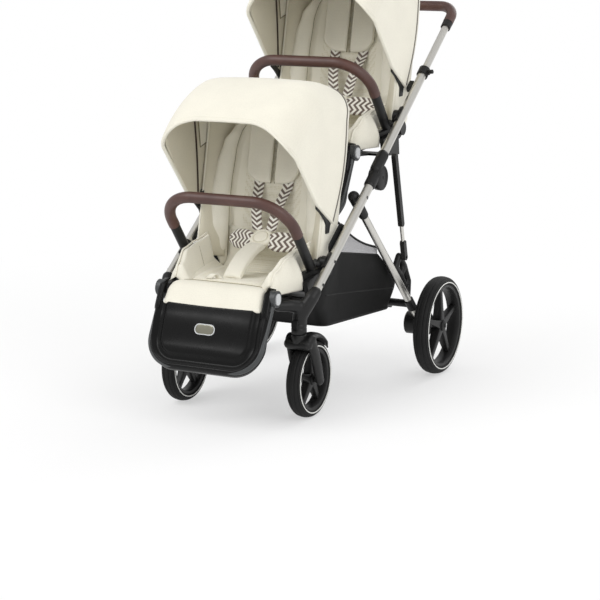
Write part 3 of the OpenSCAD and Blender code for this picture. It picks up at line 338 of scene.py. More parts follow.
def moulded_plastic(name, colour, roughness, grit=1.2, bump=0.12, shine=0.5):
    """Injection-moulded plastic: even colour, spark-eroded grain, slightly shinier where it is rubbed."""
    material, tree, shader = start_finish(name, {"IOR": 1.5, "Specular IOR Level": shine})
    place = add(tree, "ShaderNodeTexCoord").outputs["Object"]
    grain = add(tree, "ShaderNodeTexNoise", {"Vector": place, "Scale": per_mm(grit), "Detail": 2.0})
    rubbed = add(tree, "ShaderNodeTexNoise", {"Vector": place, "Scale": per_mm(45), "Detail": 4.0})
    base = tuple(colour)
    tint = add(
        tree, "ShaderNodeMix",
        {"Factor": rubbed.outputs["Fac"], "A": (*(c * 0.9 for c in base[:3]), 1.0),
         "B": (*(min(1, c * 1.1 + 0.002) for c in base[:3]), 1.0)}, data_type="RGBA")
    rough = add(
        tree, "ShaderNodeMapRange",
        {"Value": rubbed.outputs["Fac"], "From Min": 0.3, "From Max": 0.7, "To Min": roughness + 0.05,
         "To Max": roughness - 0.05})
    relief = add(
        tree, "ShaderNodeBump",
        {"Height": grain.outputs["Fac"], "Strength": bump, "Distance": 0.2 * MM})
    tree.links.new(tint.outputs["Result"], shader.inputs["Base Color"])
    tree.links.new(rough.outputs["Result"], shader.inputs["Roughness"])
    tree.links.new(relief.outputs["Normal"], shader.inputs["Normal"])
    return material


def anodised_aluminium(name, colour, roughness):
    """Brushed and anodised aluminium: satin metal with faint drawing lines and cloudy roughness."""
    material, tree, shader = start_finish(name, {"Metallic": 1.0})
    place = add(tree, "ShaderNodeTexCoord").outputs["Object"]
    # drawing lines run along the sloping tubes, about 0.8 mm apart and 40 mm long
    turned = add(
        tree, "ShaderNodeMapping",
        {"Vector": place, "Rotation": (math.radians(-LOWER_ANGLE), 0, 0),
         "Scale": (per_mm(0.8), per_mm(40), per_mm(0.8))})
    lines = add(
        tree, "ShaderNodeTexNoise",
        {"Vector": turned.outputs["Vector"], "Scale": 1.0, "Detail": 2.0})
    cloud = add(tree, "ShaderNodeTexNoise", {"Vector": place, "Scale": per_mm(35), "Detail": 3.0})
    base = tuple(colour)
    tint = add(
        tree, "ShaderNodeMix",
        {"Factor": lines.outputs["Fac"], "A": (*(c * 0.86 for c in base[:3]), 1.0), "B": base},
        data_type="RGBA")
    rough = add(
        tree, "ShaderNodeMapRange",
        {"Value": cloud.outputs["Fac"], "To Min": roughness - 0.05, "To Max": roughness + 0.06})
    relief = add(
        tree, "ShaderNodeBump",
        {"Height": lines.outputs["Fac"], "Strength": 0.06, "Distance": 0.1 * MM})
    tree.links.new(tint.outputs["Result"], shader.inputs["Base Color"])
    tree.links.new(rough.outputs["Result"], shader.inputs["Roughness"])
    tree.links.new(relief.outputs["Normal"], shader.inputs["Normal"])
    return material


def open_mesh(name, colour, pitch):
    """Warp-knitted net: thin pale threads with open holes between them."""
    material, tree, shader = start_finish(name, {"Roughness": 0.8, "IOR": 1.45})
    place = add(tree, "ShaderNodeUVMap", uv_map="cloth").outputs["UV"]
    cell = add(
        tree, "ShaderNodeTexVoronoi",
        {"Vector": place, "Scale": per_mm(pitch), "Randomness": 0.0}, voronoi_dimensions="2D")
    thread = add(
        tree, "ShaderNodeMapRange",
        {"Value": cell.outputs["Distance"], "From Min": 0.28, "From Max": 0.36})
    tint = add(
        tree, "ShaderNodeMix",
        {"Factor": cell.outputs["Distance"], "A": tuple(colour),
         "B": (*(c * 0.8 for c in colour[:3]), 1.0)}, data_type="RGBA")
    tree.links.new(tint.outputs["Result"], shader.inputs["Base Color"])
    tree.links.new(thread.outputs["Result"], shader.inputs["Alpha"])
    return material


FINISHES = {}


def make_finishes(looks):
    """All finishes of the pushchair, from the colours and sizes in the sidebar."""
    FINISHES.clear()
    FINISHES.update(
        cream=woven_cloth("cream_woven_polyester", looks.cream, 2.6),
        pad=spacer_knit("cream_padded_spacer_knit", looks.cream, looks.knit_dimple_shade, looks.panel_half_width),
        seat=spacer_knit("cream_seat_spacer_knit", looks.cream, looks.knit_dimple_shade, looks.seat_half_width),
        strap_pad=woven_cloth("cream_brushed_jersey", looks.cream, 2.0, sheen=0.4),
        lining=woven_cloth("beige_woven_lining", looks.lining, 2.4),
        piping=woven_cloth("grey_corded_piping", looks.piping, 1.6),
        seam=woven_cloth("beige_seam_tape", looks.seam, 1.6),
        webbing=chevron_webbing("taupe_chevron_webbing", looks.web_light, looks.web_dark,
                                looks.chevron_pitch, looks.strap_width),
        leather=grained_leather("brown_embossed_leather", looks.leather, looks.leather_worn),
        black=moulded_plastic("black_moulded_nylon", looks.black, 0.42, shine=0.3),
        gloss=moulded_plastic("black_polished_nylon", looks.black, 0.22, bump=0.04),
        boot=moulded_plastic("black_moulded_soft_polymer", looks.boot, 0.28, grit=1.5, bump=0.05,
                             shine=0.16),
        tube=anodised_aluminium("champagne_anodised_aluminium", looks.tube, 0.33),
        button=moulded_plastic("silver_painted_button", looks.button, 0.3, bump=0.03),
        dark_tube=moulded_plastic("dark_grey_powder_coat", looks.dark_tube, 0.38, grit=0.9, bump=0.1,
                                  shine=0.4),
        tyre=moulded_plastic("black_foamed_rubber", looks.tyre, 0.75, grit=1.4, bump=0.3, shine=0.3),
        ring=moulded_plastic("white_rubber_ring", looks.ring, 0.6),
        bag=woven_cloth("black_coated_polyester", looks.bag, 2.2, roughness=0.6, sheen=0.0, spread=0.1,
                        shine=0.2),
        tape=woven_cloth("black_binding_tape", looks.bag, 1.6, roughness=0.7, sheen=0.05, shine=0.3),
        net=open_mesh("pale_grey_warp_net", looks.net, 3.2),
        rib=moulded_plastic("brown_plastic_rib", looks.rib, 0.5),
        buckle=moulded_plastic("cream_moulded_acetal", looks.cream, 0.38, bump=0.05),
        badge=anodised_aluminium("bare_nickel_plate", looks.badge, 0.3),
    )


# ---------------------------------------------------------------- modelling helpers


def piece(name, bm, finish, body=None):
    """A smooth-shaded object from a bmesh, at the origin, riding on a body if one is named."""
    mesh = bpy.data.meshes.new(name)
    bm.to_mesh(mesh)
    bm.free()
    mesh.materials.append(FINISHES[finish])
    mesh.shade_smooth()
    obj = bpy.data.objects.new(name, mesh)
    bpy.context.scene.collection.objects.link(obj)
    if body:
        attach(obj, body)
    return obj


def mapped(place, across, along, size=(1.0, 1.0)):
    """A grid of cloth whose corners move to place(u, v), with a UV map in metres."""
    bm = bmesh.new()
    lay = bm.loops.layers.uv.new("cloth")
    bmesh.ops.create_grid(bm, x_segments=across, y_segments=along, size=0.5)
    for face in bm.faces:
        for loop in face.loops:
            loop[lay].uv = ((loop.vert.co.x + 0.5) * size[0], (loop.vert.co.y + 0.5) * size[1])
    for v in bm.verts:
        v.co = place(v.co.x + 0.5, v.co.y + 0.5)
    return bm


def pillow(middle, thick, across, along, size=(1.0, 1.0), corner=0.35, round_by=4):
    """A closed pad: two grids either side of a middle sheet, meeting at their edges.

    middle(u, v) gives a point and the direction of the pad's face; the edges round off over the corner share.
    """
    bm = bmesh.new()
    lay = bm.loops.layers.uv.new("cloth")
    for side in (1, -1):
        before = set(bm.faces)
        made = bmesh.ops.create_grid(bm, x_segments=across, y_segments=along, size=0.5)
        if side < 0:
            bmesh.ops.reverse_faces(bm, faces=[f for f in bm.faces if f not in before])
        for face in (f for f in bm.faces if f not in before):
            for loop in face.loops:
                loop[lay].uv = ((loop.vert.co.x + 0.5) * size[0], (loop.vert.co.y + 0.5) * size[1])
        for v in made["verts"]:
            u, w = v.co.x + 0.5, v.co.y + 0.5
            point, face_to = middle(u, w)
            edge = 1.0
            for t in (u, w):
                near = min(1.0, min(t, 1 - t) / corner)
                edge *= max(0.0, 1 - (1 - near) ** round_by) ** 0.5
            v.co = point + face_to * (side * edge * thick * MM / 2)
    bmesh.ops.remove_doubles(bm, verts=bm.verts, dist=1e-6)
    bmesh.ops.recalc_face_normals(bm, faces=bm.faces)
    return bm


def piped(name, paths, radius, finish, body=None, closed=False, sides=3):
    """Round cords, seams or threads along lists of points, as one mesh piece."""
    curve = bpy.data.curves.new(name, "CURVE")
    curve.dimensions = "3D"
    curve.bevel_depth = radius * MM
    curve.bevel_resolution = sides
    curve.use_fill_caps = not closed
    for path in paths:
        spline = curve.splines.new("POLY")
        spline.points.add(len(path) - 1)
        for point, place in zip(spline.points, path):
            point.co = (*place, 1)
        spline.use_cyclic_u = closed
    temporary = bpy.data.objects.new(name, curve)
    bpy.context.scene.collection.objects.link(temporary)
    bpy.context.view_layer.update()
    mesh = bpy.data.meshes.new_from_object(temporary.evaluated_get(bpy.context.evaluated_depsgraph_get()))
    bpy.data.objects.remove(temporary)
    bpy.data.curves.remove(curve)
    bm = bmesh.new()
    bm.from_mesh(mesh)
    bpy.data.meshes.remove(mesh)
    bmesh.ops.remove_doubles(bm, verts=bm.verts, dist=1e-6)
    bmesh.ops.recalc_face_normals(bm, faces=bm.faces)
    return piece(name, bm, finish, body)


def turned(profile, steps, place, axis="X"):
    """A solid of revolution: (across, radius) profile in mm spun about an axis through place."""
    bm = bmesh.new()
    verts = [bm.verts.new((a * MM, 0, r * MM)) for a, r in profile]
    edges = [bm.edges.new(pair) for pair in zip(verts, verts[1:])]
    bmesh.ops.spin(bm, geom=verts + edges, cent=(0, 0, 0), axis=(1, 0, 0), angle=math.tau, steps=steps,
                   use_merge=True)
    bmesh.ops.remove_doubles(bm, verts=bm.verts, dist=1e-6)
    bmesh.ops.recalc_face_normals(bm, faces=bm.faces)
    if axis == "Z":
        bmesh.ops.rotate(bm, verts=bm.verts, cent=(0, 0, 0), matrix=Matrix.Rotation(-math.pi / 2, 3, "Y"))
    bmesh.ops.translate(bm, verts=bm.verts, vec=place)
    return bm


def joined(parts):
    """One bmesh from several, which are freed."""
    whole = bmesh.new()
    for part in parts:
        mesh = bpy.data.meshes.new("part")
        part.to_mesh(mesh)
        part.free()
        whole.from_mesh(mesh)
        bpy.data.meshes.remove(mesh)
    return whole


def mirrored(bm):
    """The other side's copy of a bmesh, across X."""
    copy = bm.copy()
    bmesh.ops.scale(copy, vec=(-1, 1, 1), verts=copy.verts)
    bmesh.ops.reverse_faces(copy, faces=copy.faces)
    return copy


def thicken(obj, thickness, offset=0.0, bevel=0.0, levels=0):
    """Solidify, and if asked a bevel and a subdivision, left live on the piece."""
    if thickness:
        wall = obj.modifiers.new("wall", "SOLIDIFY")
        wall.thickness = thickness * MM
        wall.offset = offset
    if bevel:
        edge = obj.modifiers.new("edge", "BEVEL")
        edge.width = bevel * MM
        edge.segments = 2
        edge.limit_method = "ANGLE"
    if levels:
        soft = obj.modifiers.new("soft", "SUBSURF")
        soft.levels = soft.render_levels = levels
    return obj


def surface_of(obj):
    """A finished piece's surface, for pieces that lie on it."""
    return BVHTree.FromObject(obj, bpy.context.evaluated_depsgraph_get())


def dropped(tree, point, direction, lift, reach=0.25):
    """Point where a line from in front of a pad meets it, lifted off it by lift mm."""
    start = point - direction * (reach / 2)
    hit = tree.ray_cast(start, direction, reach)[0]
    if hit is None:
        hit = tree.find_nearest(point)[0]
    return hit - direction * (lift * MM)


def remeshed(obj, voxel):
    """Rebuilds a piece's mesh on a grid of voxels of this size in mm."""
    remesh = obj.modifiers.new("remesh", "REMESH")
    remesh.mode = "VOXEL"
    remesh.voxel_size = voxel * MM
    apply_modifiers(obj)


def relaxed(obj, rounds):
    """A bmesh of a piece's mesh, smoothed this many times."""
    bm = bmesh.new()
    bm.from_mesh(obj.data)
    for _ in range(rounds):
        bmesh.ops.smooth_vert(bm, verts=bm.verts, factor=0.5, use_axis_x=True, use_axis_y=True,
                              use_axis_z=True)
    return bm


# Frames in which the cloth pressure fills a cushion
FILL_FRAMES = 20


def stuffed(name, node, finish, shrink, cap, voxel):
    """A cushion from a soft CAD solid: merged, shrunk, remeshed, blown up by cloth pressure, capped."""
    source = NODES[node]
    bm = bmesh.new()
    bm.from_mesh(source.data)
    bmesh.ops.remove_doubles(bm, verts=bm.verts, dist=1e-5)
    bmesh.ops.recalc_face_normals(bm, faces=bm.faces)
    bm.normal_update()
    inward = {v: v.co - v.normal * (shrink * MM) for v in bm.verts}
    for v, co in inward.items():
        v.co = co
    obj = piece(name, bm, finish)
    remeshed(obj, voxel)
    rest = [v.co.copy() for v in obj.data.vertices]
    cloth = obj.modifiers.new("fill", "CLOTH")
    settings = cloth.settings
    settings.quality = 5
    settings.mass = 0.3
    settings.use_pressure = True
    settings.uniform_pressure_force = 4
    settings.effector_weights.gravity = 0
    settings.tension_stiffness = settings.compression_stiffness = 12
    settings.shear_stiffness = 5
    settings.bending_stiffness = 0.5
    cloth.collision_settings.use_collision = False
    cloth.point_cache.frame_start, cloth.point_cache.frame_end = 1, FILL_FRAMES
    for step in range(1, FILL_FRAMES + 1):
        bpy.context.scene.frame_set(step)
        bpy.context.view_layer.update()
    apply_modifiers(obj)
    bpy.context.scene.frame_set(1)
    limit = cap * MM
    for v, before in zip(obj.data.vertices, rest):
        moved = v.co - before
        if moved.length > limit:
            v.co = before + moved * (limit / moved.length)
    bm = relaxed(obj, 5)
    bm.to_mesh(obj.data)
    bm.free()
    return obj


def apply_modifiers(obj):
    """Replaces a piece's mesh by what its modifiers make of it."""
    bpy.context.view_layer.update()
    mesh = bpy.data.meshes.new_from_object(obj.evaluated_get(bpy.context.evaluated_depsgraph_get()))
    obj.modifiers.clear()
    old = obj.data
    obj.data = mesh
    bpy.data.meshes.remove(old)
    obj.data.shade_smooth()


def sewn(obj, seams, depth, width):
    """Presses sewn channels into a cushion: seams(co, normal) is the distance in mm to one, or None."""
    bm = bmesh.new()
    bm.from_mesh(obj.data)
    bm.normal_update()
    moves = []
    for v in bm.verts:
        gap = seams(v.co, v.normal)
        if gap is not None and gap < 3 * width:
            moves.append((v, v.normal * (-depth * MM * math.exp(-(gap / width) ** 2))))
    for v, move in moves:
        v.co += move
    bm.to_mesh(obj.data)
    bm.free()
    return obj


def second_seat(obj, name):
    """A copy of a front seat's piece at the rear seat."""
    copy = bpy.data.objects.new(name, obj.data.copy())
    bpy.context.scene.collection.objects.link(copy)
    shift = Vector((0, HUBS["rear"][0] - HUBS["front"][0], HUBS["rear"][1] - HUBS["front"][1])) * MM
    copy.data.transform(Matrix.Translation(shift))
    for modifier in obj.modifiers:
        new = copy.modifiers.new(modifier.name, modifier.type)
        for key in ("thickness", "offset", "width", "segments", "limit_method", "levels", "render_levels"):
            if hasattr(modifier, key):
                setattr(new, key, getattr(modifier, key))
    return copy


# ---------------------------------------------------------------- settings


# What every colour in the sidebar has in common
COLOUR = {"subtype": "COLOR", "size": 4, "min": 0, "max": 1}


class PushchairLooks(bpy.types.PropertyGroup):
    """Colours and sizes that a user may change before the pieces are made."""

    cream: bpy.props.FloatVectorProperty(
        name="Cream cloth", description="Colour of the seats and canopies",
        default=linear("#EFEBDC"), **COLOUR)
    # painted shade: a darker cream for the shade inside the knit's dimples and over the cushions' middle
    # panels
    knit_dimple_shade: bpy.props.FloatVectorProperty(
        name="Knit dimples", description="Colour inside the knit's dimples",
        default=linear("#D3CCB2"), **COLOUR)
    lining: bpy.props.FloatVectorProperty(
        name="Lining", description="Colour inside the canopies", default=linear("#DAD4C0"), **COLOUR)
    piping: bpy.props.FloatVectorProperty(
        name="Piping", description="Colour of the canopies' rear piping",
        default=linear("#77736C"), **COLOUR)
    seam: bpy.props.FloatVectorProperty(
        name="Seams", description="Colour of sewn seams on cream cloth",
        default=linear("#8F8769"), **COLOUR)
    web_light: bpy.props.FloatVectorProperty(
        name="Webbing light", description="Colour of pale chevrons", default=linear("#F1EEE6"), **COLOUR)
    web_dark: bpy.props.FloatVectorProperty(
        name="Webbing dark", description="Colour of taupe chevrons", default=linear("#6C5F57"), **COLOUR)
    leather: bpy.props.FloatVectorProperty(
        name="Leather", description="Colour of the grips", default=linear("#4B2F29"), **COLOUR)
    leather_worn: bpy.props.FloatVectorProperty(
        name="Polished leather", description="Colour where hands rub", default=linear("#5A3A32"), **COLOUR)
    black: bpy.props.FloatVectorProperty(
        name="Black plastic", description="Colour of hinges and wheels",
        default=linear("#191919"), **COLOUR)
    boot: bpy.props.FloatVectorProperty(
        name="Boot", description="Colour of the leg rests' lower cover",
        default=linear("#0B0B0B"), **COLOUR)
    tube: bpy.props.FloatVectorProperty(
        name="Tubes", description="Colour of the anodised tubes", default=linear("#DBD9D3"), **COLOUR)
    button: bpy.props.FloatVectorProperty(
        name="Buttons", description="Colour of the knee buttons", default=linear("#C9CBCC"), **COLOUR)
    dark_tube: bpy.props.FloatVectorProperty(
        name="Seat tubes", description="Colour of the leg and back frames",
        default=linear("#3E4041"), **COLOUR)
    tyre: bpy.props.FloatVectorProperty(
        name="Tyres", description="Colour of the rubber", default=linear("#161616"), **COLOUR)
    ring: bpy.props.FloatVectorProperty(
        name="Tyre ring", description="Colour of the pale ring on a tyre",
        default=linear("#E6E6E2"), **COLOUR)
    bag: bpy.props.FloatVectorProperty(
        name="Basket", description="Colour of the basket's cloth", default=linear("#0F0F0F"), **COLOUR)
    net: bpy.props.FloatVectorProperty(
        name="Net", description="Colour of the basket's net", default=linear("#B9B8BA"), **COLOUR)
    rib: bpy.props.FloatVectorProperty(
        name="Ribs", description="Colour of the canopies' ribs", default=linear("#3A2C1E"), **COLOUR)
    badge: bpy.props.FloatVectorProperty(
        name="Plate", description="Colour of the bare plate on a boot", default=linear("#8C8A7C"), **COLOUR)
    panel_half_width: bpy.props.FloatProperty(
        name="Back panel", description="Half width of the knit middle of a back, in mm",
        default=86, min=60, max=110)
    seat_half_width: bpy.props.FloatProperty(
        name="Seat panel", description="Half width of the knit middle of a seat, in mm",
        default=92, min=60, max=120)
    strap_width: bpy.props.FloatProperty(
        name="Strap width", description="Width of the harness webbing, in mm", default=31, min=20, max=40)
    chevron_pitch: bpy.props.FloatProperty(
        name="Chevron pitch", description="Distance between chevrons, in mm", default=16, min=4, max=16)
    cushion_cap: bpy.props.FloatProperty(
        name="Cushion swell", description="Most that a cushion's skin may move, in mm",
        default=8, min=3, max=16)
    voxel: bpy.props.FloatProperty(
        name="Cushion voxel", description="Remesh size of the cushions, in mm", default=5, min=3, max=8)


# ---------------------------------------------------------------- pieces


class PUSHCHAIR_OT_stage(bpy.types.Operator):
    """Pale floor, soft studio lamps and the camera"""

    bl_idname = "pushchair.stage"
    bl_label = "Stage"

    def execute(self, context):
        bm = bmesh.new()
        bmesh.ops.create_grid(bm, x_segments=2, y_segments=2, size=40)
        material, tree, shader = start_finish("white_studio_floor", {"Roughness": 0.9})
        shader.inputs["Base Color"].default_value = linear("#F2F2F2")
        place = add(tree, "ShaderNodeTexCoord").outputs["Object"]
        far = add(tree, "ShaderNodeVectorMath", {0: place}, operation="LENGTH")
        fade = add(
            tree, "ShaderNodeMapRange",
            {"Value": far.outputs["Value"], "From Min": 0.5, "From Max": 2.2, "To Min": 0.5, "To Max": 1.0},
            interpolation_type="SMOOTHSTEP")
        rays = add(tree, "ShaderNodeLightPath")
        seen = add(
            tree, "ShaderNodeMath",
            {0: rays.outputs["Is Camera Ray"], 1: rays.outputs["Is Glossy Ray"]}, operation="MAXIMUM")
        seen = add(
            tree, "ShaderNodeMath",
            {0: seen.outputs["Value"], 1: rays.outputs["Is Transmission Ray"]}, operation="MAXIMUM")
        amount = add(
            tree, "ShaderNodeMath",
            {0: seen.outputs["Value"], 1: fade.outputs["Result"]}, operation="MULTIPLY")
        glow = add(tree, "ShaderNodeEmission", {"Color": (1, 1, 1, 1), "Strength": 1.0})
        both = add(
            tree, "ShaderNodeMixShader",
            {0: amount.outputs["Value"], 1: shader.outputs["BSDF"], 2: glow.outputs["Emission"]})
        tree.links.new(both.outputs["Shader"], tree.nodes["Material Output"].inputs["Surface"])
        FINISHES["floor"] = material
        piece("studio_floor", bm, "floor")

        world = bpy.data.worlds.new("studio")
        context.scene.world = world
        world.use_nodes = True
        tree = world.node_tree
        rays = add(tree, "ShaderNodeLightPath")
        strength = add(
            tree, "ShaderNodeMapRange",
            {"Value": rays.outputs["Is Camera Ray"], "To Min": 0.7, "To Max": 1.0})
        back = tree.nodes["Background"]
        back.inputs["Color"].default_value = (1, 1, 1, 1)
        tree.links.new(strength.outputs["Result"], back.inputs["Strength"])

        for name, spot, size, power in (("key", (-1.6, -2.6, 3.0), 2.2, 62),
                                        ("fill", (3.2, -1.6, 2.2), 2.4, 44),
                                        ("back", (0.6, 3.2, 2.6), 2.4, 46)):
            lamp = bpy.data.lights.new(name, "AREA")
            lamp.energy = power
            lamp.size = size
            obj = bpy.data.objects.new(name, lamp)
            obj.location = spot
            obj.rotation_mode = "QUATERNION"
            obj.rotation_quaternion = (Vector((0, 0, 0.5)) - Vector(spot)).to_track_quat("-Z", "Y")
            context.scene.collection.objects.link(obj)

        lens = bpy.data.cameras.new("camera")
        lens.sensor_width = 36
        lens.lens = 111.018
        lens.clip_end = 200
        camera = bpy.data.objects.new("camera", lens)
        camera.location = (2.34125, -4.21541 - ORIGIN_Y * MM, 1.30468)
        camera.rotation_mode = "QUATERNION"
        aim = Vector((-0.1271, 0.5599 - ORIGIN_Y * MM, 0.1798)) - camera.location
        camera.rotation_quaternion = aim.to_track_quat("-Z", "Y")
        context.scene.collection.objects.link(camera)
        context.scene.camera = camera
        context.scene.view_settings.view_transform = "Standard"
        return {"FINISHED"}


NODE_FINISHES = {
    "tube": ("lower_tubes", "upper_tubes", "handle_tubes", "rear_legs", "link_rods"),
    "black": ("hinge_lower", "hinge_upper", "front_crossbar", "front_adapters", "rear_adapters",
              "upper_collars", "fold_slider_left", "fold_slider_right", "handle_collars",
              "handle_button", "rear_leg_fittings", "rear_axle", "brake_pedal", "link_sleeves",
              "rear_rim_left", "rear_rim_right", "front_rim_left", "front_rim_right",
              "caster_fork_left", "caster_fork_right", "swivel_lock_left", "swivel_lock_right",
              "front_seat_frame", "rear_seat_frame", "front_bumper_arms", "rear_bumper_arms"),
    "gloss": ("hinge_pins",),
    "leather": ("handle_grip", "front_bumper_bar", "rear_bumper_bar"),
    "dark_tube": ("front_back_frame", "rear_back_frame", "front_leg_frame", "rear_leg_frame"),
    "button": ("front_leg_button", "rear_leg_button"),
    "buckle": ("front_buckle_button", "rear_buckle_button", "front_buckle", "rear_buckle"),
    "tyre": ("rear_tyre_left", "rear_tyre_right", "front_tyre_left", "front_tyre_right"),
    "cream": ("front_seat_pad", "front_back_pad", "front_leg_pad",
              "rear_seat_pad", "rear_back_pad", "rear_leg_pad",
              "front_canopy_rear", "front_canopy_front", "rear_canopy_rear", "rear_canopy_front"),
    "bag": ("basket",),
}


class PUSHCHAIR_OT_frame_finishes(bpy.types.Operator):
    """Finishes of the frame, wheels and fittings"""

    bl_idname = "pushchair.frame_finishes"
    bl_label = "Frame finishes"

    def execute(self, context):
        make_finishes(context.scene.pushchair)
        dressed = set()
        for finish, nodes in NODE_FINISHES.items():
            for node in nodes:
                NODES[node].data.materials.clear()
                NODES[node].data.materials.append(FINISHES[finish])
                dressed.add(node)
        if dressed != set(NODES):
            raise RuntimeError(f"no finish for {sorted(set(NODES) - dressed)}")
        return {"FINISHED"}


def on_back(co):
    """x, along and off of a point on the front backrest, in mm."""
    y = co.y / MM + ORIGIN_Y - HUBS["front"][0]
    z = co.z / MM - HUBS["front"][1]
    c, s = math.cos(math.radians(BACK_ANGLE)), math.sin(math.radians(BACK_ANGLE))
    return co.x / MM, y * c + z * s, -y * s + z * c


def back_seam(along):
    """Distance of a back cushion's long seams from the middle."""
    return curve_through([(-20, 130), (45, 126), (98, 121), (203, 119), (297, 115), (350, 106), (420, 70)],
                         along)


BACK_FORWARD = Vector((0, *beside((0, 0), BACK_ANGLE, 0, 1))).normalized()
SEAT_FRONT = (-214, -38)
SEAT_REAR = (46, -57)
BOLSTER_OUT = [(-20, 136), (11, 149), (51, 162), (119, 169), (177, 168), (251, 160), (315, 144), (353, 122),
               (392, 92)]
BOLSTER_OFF = [(-20, -54), (50, -42), (100, -28), (160, -20), (330, -22), (392, -46)]
BRIDGE = [(10, -43), (46, -40), (70, -16), (79, 22), (81, 84)]
WING_TOP = [(-192, -22), (-172, 10), (-122, 42), (-65, 53), (-35, 57), (2, 64)]


def seat_share(co):
    """Share of the way from the front of the front seat to its rear."""
    y = co.y / MM + ORIGIN_Y - HUBS["front"][0]
    return (y - SEAT_FRONT[0]) / (SEAT_REAR[0] - SEAT_FRONT[0])


def seat_seam(share):
    """Distance of a seat cushion's long seams from the middle."""
    return curve_through([(0.0, 100), (0.3, 108), (1.0, 112)], share)


def walk(points, t):
    """Point at share t of the length of the line through points."""
    lengths = [(q - p).length for p, q in zip(points, points[1:])]
    left = min(1.0, max(0.0, t)) * sum(lengths)
    for p, q, length in zip(points, points[1:], lengths):
        if left <= length:
            return p.lerp(q, left / length) if length else p.copy()
        left -= length
    return points[-1].copy()


def rounded_walk(points, t, blur=0.06):
    """Like walk, with the line's corners rounded off by averaging along it."""
    total = Vector((0,) * len(points[0]))
    for k in range(-3, 4):
        total += walk(points, t + blur * k / 3 * min(1.0, 4 * t, 4 * (1 - t)))
    return total / 7


class PUSHCHAIR_OT_cushions(bpy.types.Operator):
    """Back and seat cushions: filled covers with sewn channels, bolsters, side wings and seam tape"""

    bl_idname = "pushchair.cushions"
    bl_label = "Cushions"

    def execute(self, context):
        looks = context.scene.pushchair
        back = stuffed("front_back_cushion", "front_back_pad", "pad", 3, looks.cushion_cap, looks.voxel)

        def back_gap(co, normal):
            if normal.dot(BACK_FORWARD) < 0.1:
                return None
            x, along, _ = on_back(co)
            return abs(abs(x) - back_seam(along))

        sewn(back, back_gap, 7, 8)
        seat = stuffed("front_seat_cushion", "front_seat_pad", "seat", 3, looks.cushion_cap, looks.voxel)

        def seat_gap(co, normal):
            if normal.z < 0.1:
                return None
            return abs(abs(co.x / MM) - seat_seam(seat_share(co)))

        sewn(seat, seat_gap, 5, 6)

        # long lens-shaped bolsters either side of the back's flat middle, down to the seat
        bolsters, seams = [], []
        for side in (1, -1):
            def bolster(u, v):
                along = mix(392, -20, v)
                x = mix(back_seam(along), curve_through(BOLSTER_OUT, along), u)
                off = curve_through(BOLSTER_OFF, along) + 26 * (u - 0.5)
                facing = (BACK_FORWARD * 0.9 + Vector((-side * 0.42, 0, 0))).normalized()
                return back_at("front", side * x, along, off), facing

            bolsters.append(pillow(bolster, 36, 16, 64, corner=0.5, round_by=2.2))
            seams.append([bolster(0.02, k / 40)[0] + BACK_FORWARD * (1.5 * MM) for k in range(2, 40)])
        bolsters = piece("front_back_bolsters", joined(bolsters), "strap_pad")
        back_tape = piped("front_back_seams", seams, 1.5, "seam")

        # the back's cover runs on down into the seat
        path = [Vector(p) for p in BRIDGE]

        def bridge(u, v):
            y, z = rounded_walk(path, v, 0.12)
            ahead, behind = rounded_walk(path, v + 0.03, 0.12), rounded_walk(path, v - 0.03, 0.12)
            run = (ahead - behind).normalized()
            return seat_at("front", (2 * u - 1) * 139, y, z), Vector((0, -run.y, run.x))

        fold = piece("front_seat_fold", pillow(bridge, 24, 34, 24, corner=0.12), "pad")

        # side wings: padded walls either side of the seat, with a sewn line across each
        wings, lines, welts = [], [], []
        for side in (1, -1):
            def wing(u, v):
                y = mix(-192, 2, u)
                top = curve_through(WING_TOP, y)
                rise = ease(v) * 0.35 + v * 0.65
                x = mix(curve_through([(-192, 104), (-120, 118), (2, 126)], y),
                        curve_through([(-192, 140), (-120, 152), (2, 154)], y), v ** 0.8)
                facing = Vector((-side * 0.82, -0.12, 0.5)).normalized()
                return seat_at("front", side * x, y, mix(-38, top, rise)), facing

            wings.append(pillow(wing, 24, 40, 24, corner=0.2))
            lines.append([wing(mix(0.62, 0.72, k / 16) - 0.1 * k / 16, 1 - k / 16)[0]
                          + wing(0.6, 0.5)[1] * ((11.4 - 3 * abs(k / 8 - 1) ** 4) * MM)
                          for k in range(2, 16)])
            welts.append([wing(k / 30, 1.0)[0] + Vector((side * 3 * MM, 0, 1.5 * MM)) for k in range(31)])
        wings = piece("front_seat_wings", joined(wings), "strap_pad")
        wing_lines = piped("front_seat_seams", lines, 1.0, "seam")
        wing_welts = piped("front_seat_welts", welts, 2.6, "cream")

        # skirts: cloth from the wings' welts down over the seat's arms
        skirts = []
        for side in (1, -1):
            def skirt(u, v):
                y = mix(-196, -94, u)
                arm = straight_through([(-186, 157), (-30, 202), (0, 202)], y)
                x = mix(curve_through([(-192, 143), (-120, 155), (2, 157)], y), arm,
                        math.sin(v * math.pi / 2))
                x += 5 * math.sin(math.pi * v)
                return seat_at("front", side * x, y, mix(curve_through(WING_TOP, y) + 1, -44, v))

            skirts.append(mapped(skirt, 20, 16, (0.1, 0.1)))
        skirts = piece("front_seat_skirts", joined(skirts), "cream")
        thicken(skirts, 2)

        pieces = ((back, "backrest", "back_pad"), (back_tape, "backrest", None),
                  (bolsters, "backrest", "pad"), (seat, None, "seat_pad"), (wings, None, "pad"),
                  (wing_lines, None, None), (wing_welts, None, None), (skirts, None, "sheet"),
                  (fold, "blend", "pad"))
        for obj, body, role in pieces:
            for end in ("front", "rear"):
                copy = obj if end == "front" else second_seat(obj, obj.name.replace("front_", "rear_"))
                if body == "blend":
                    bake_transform(copy)
                else:
                    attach(copy, f"{end}_{body}" if body else CARRIER[end])
                if role == "sheet":
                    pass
                elif role:
                    if role != "pad":
                        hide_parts(f"{end}_{role}")
                    thicken(copy, 0, levels=1)
        return {"FINISHED"}


LEG_CUSHION = [(-172, -29), (-190, -24), (-206, -21), (-222, -24), (-234, -34), (-243, -48), (-252, -64)]


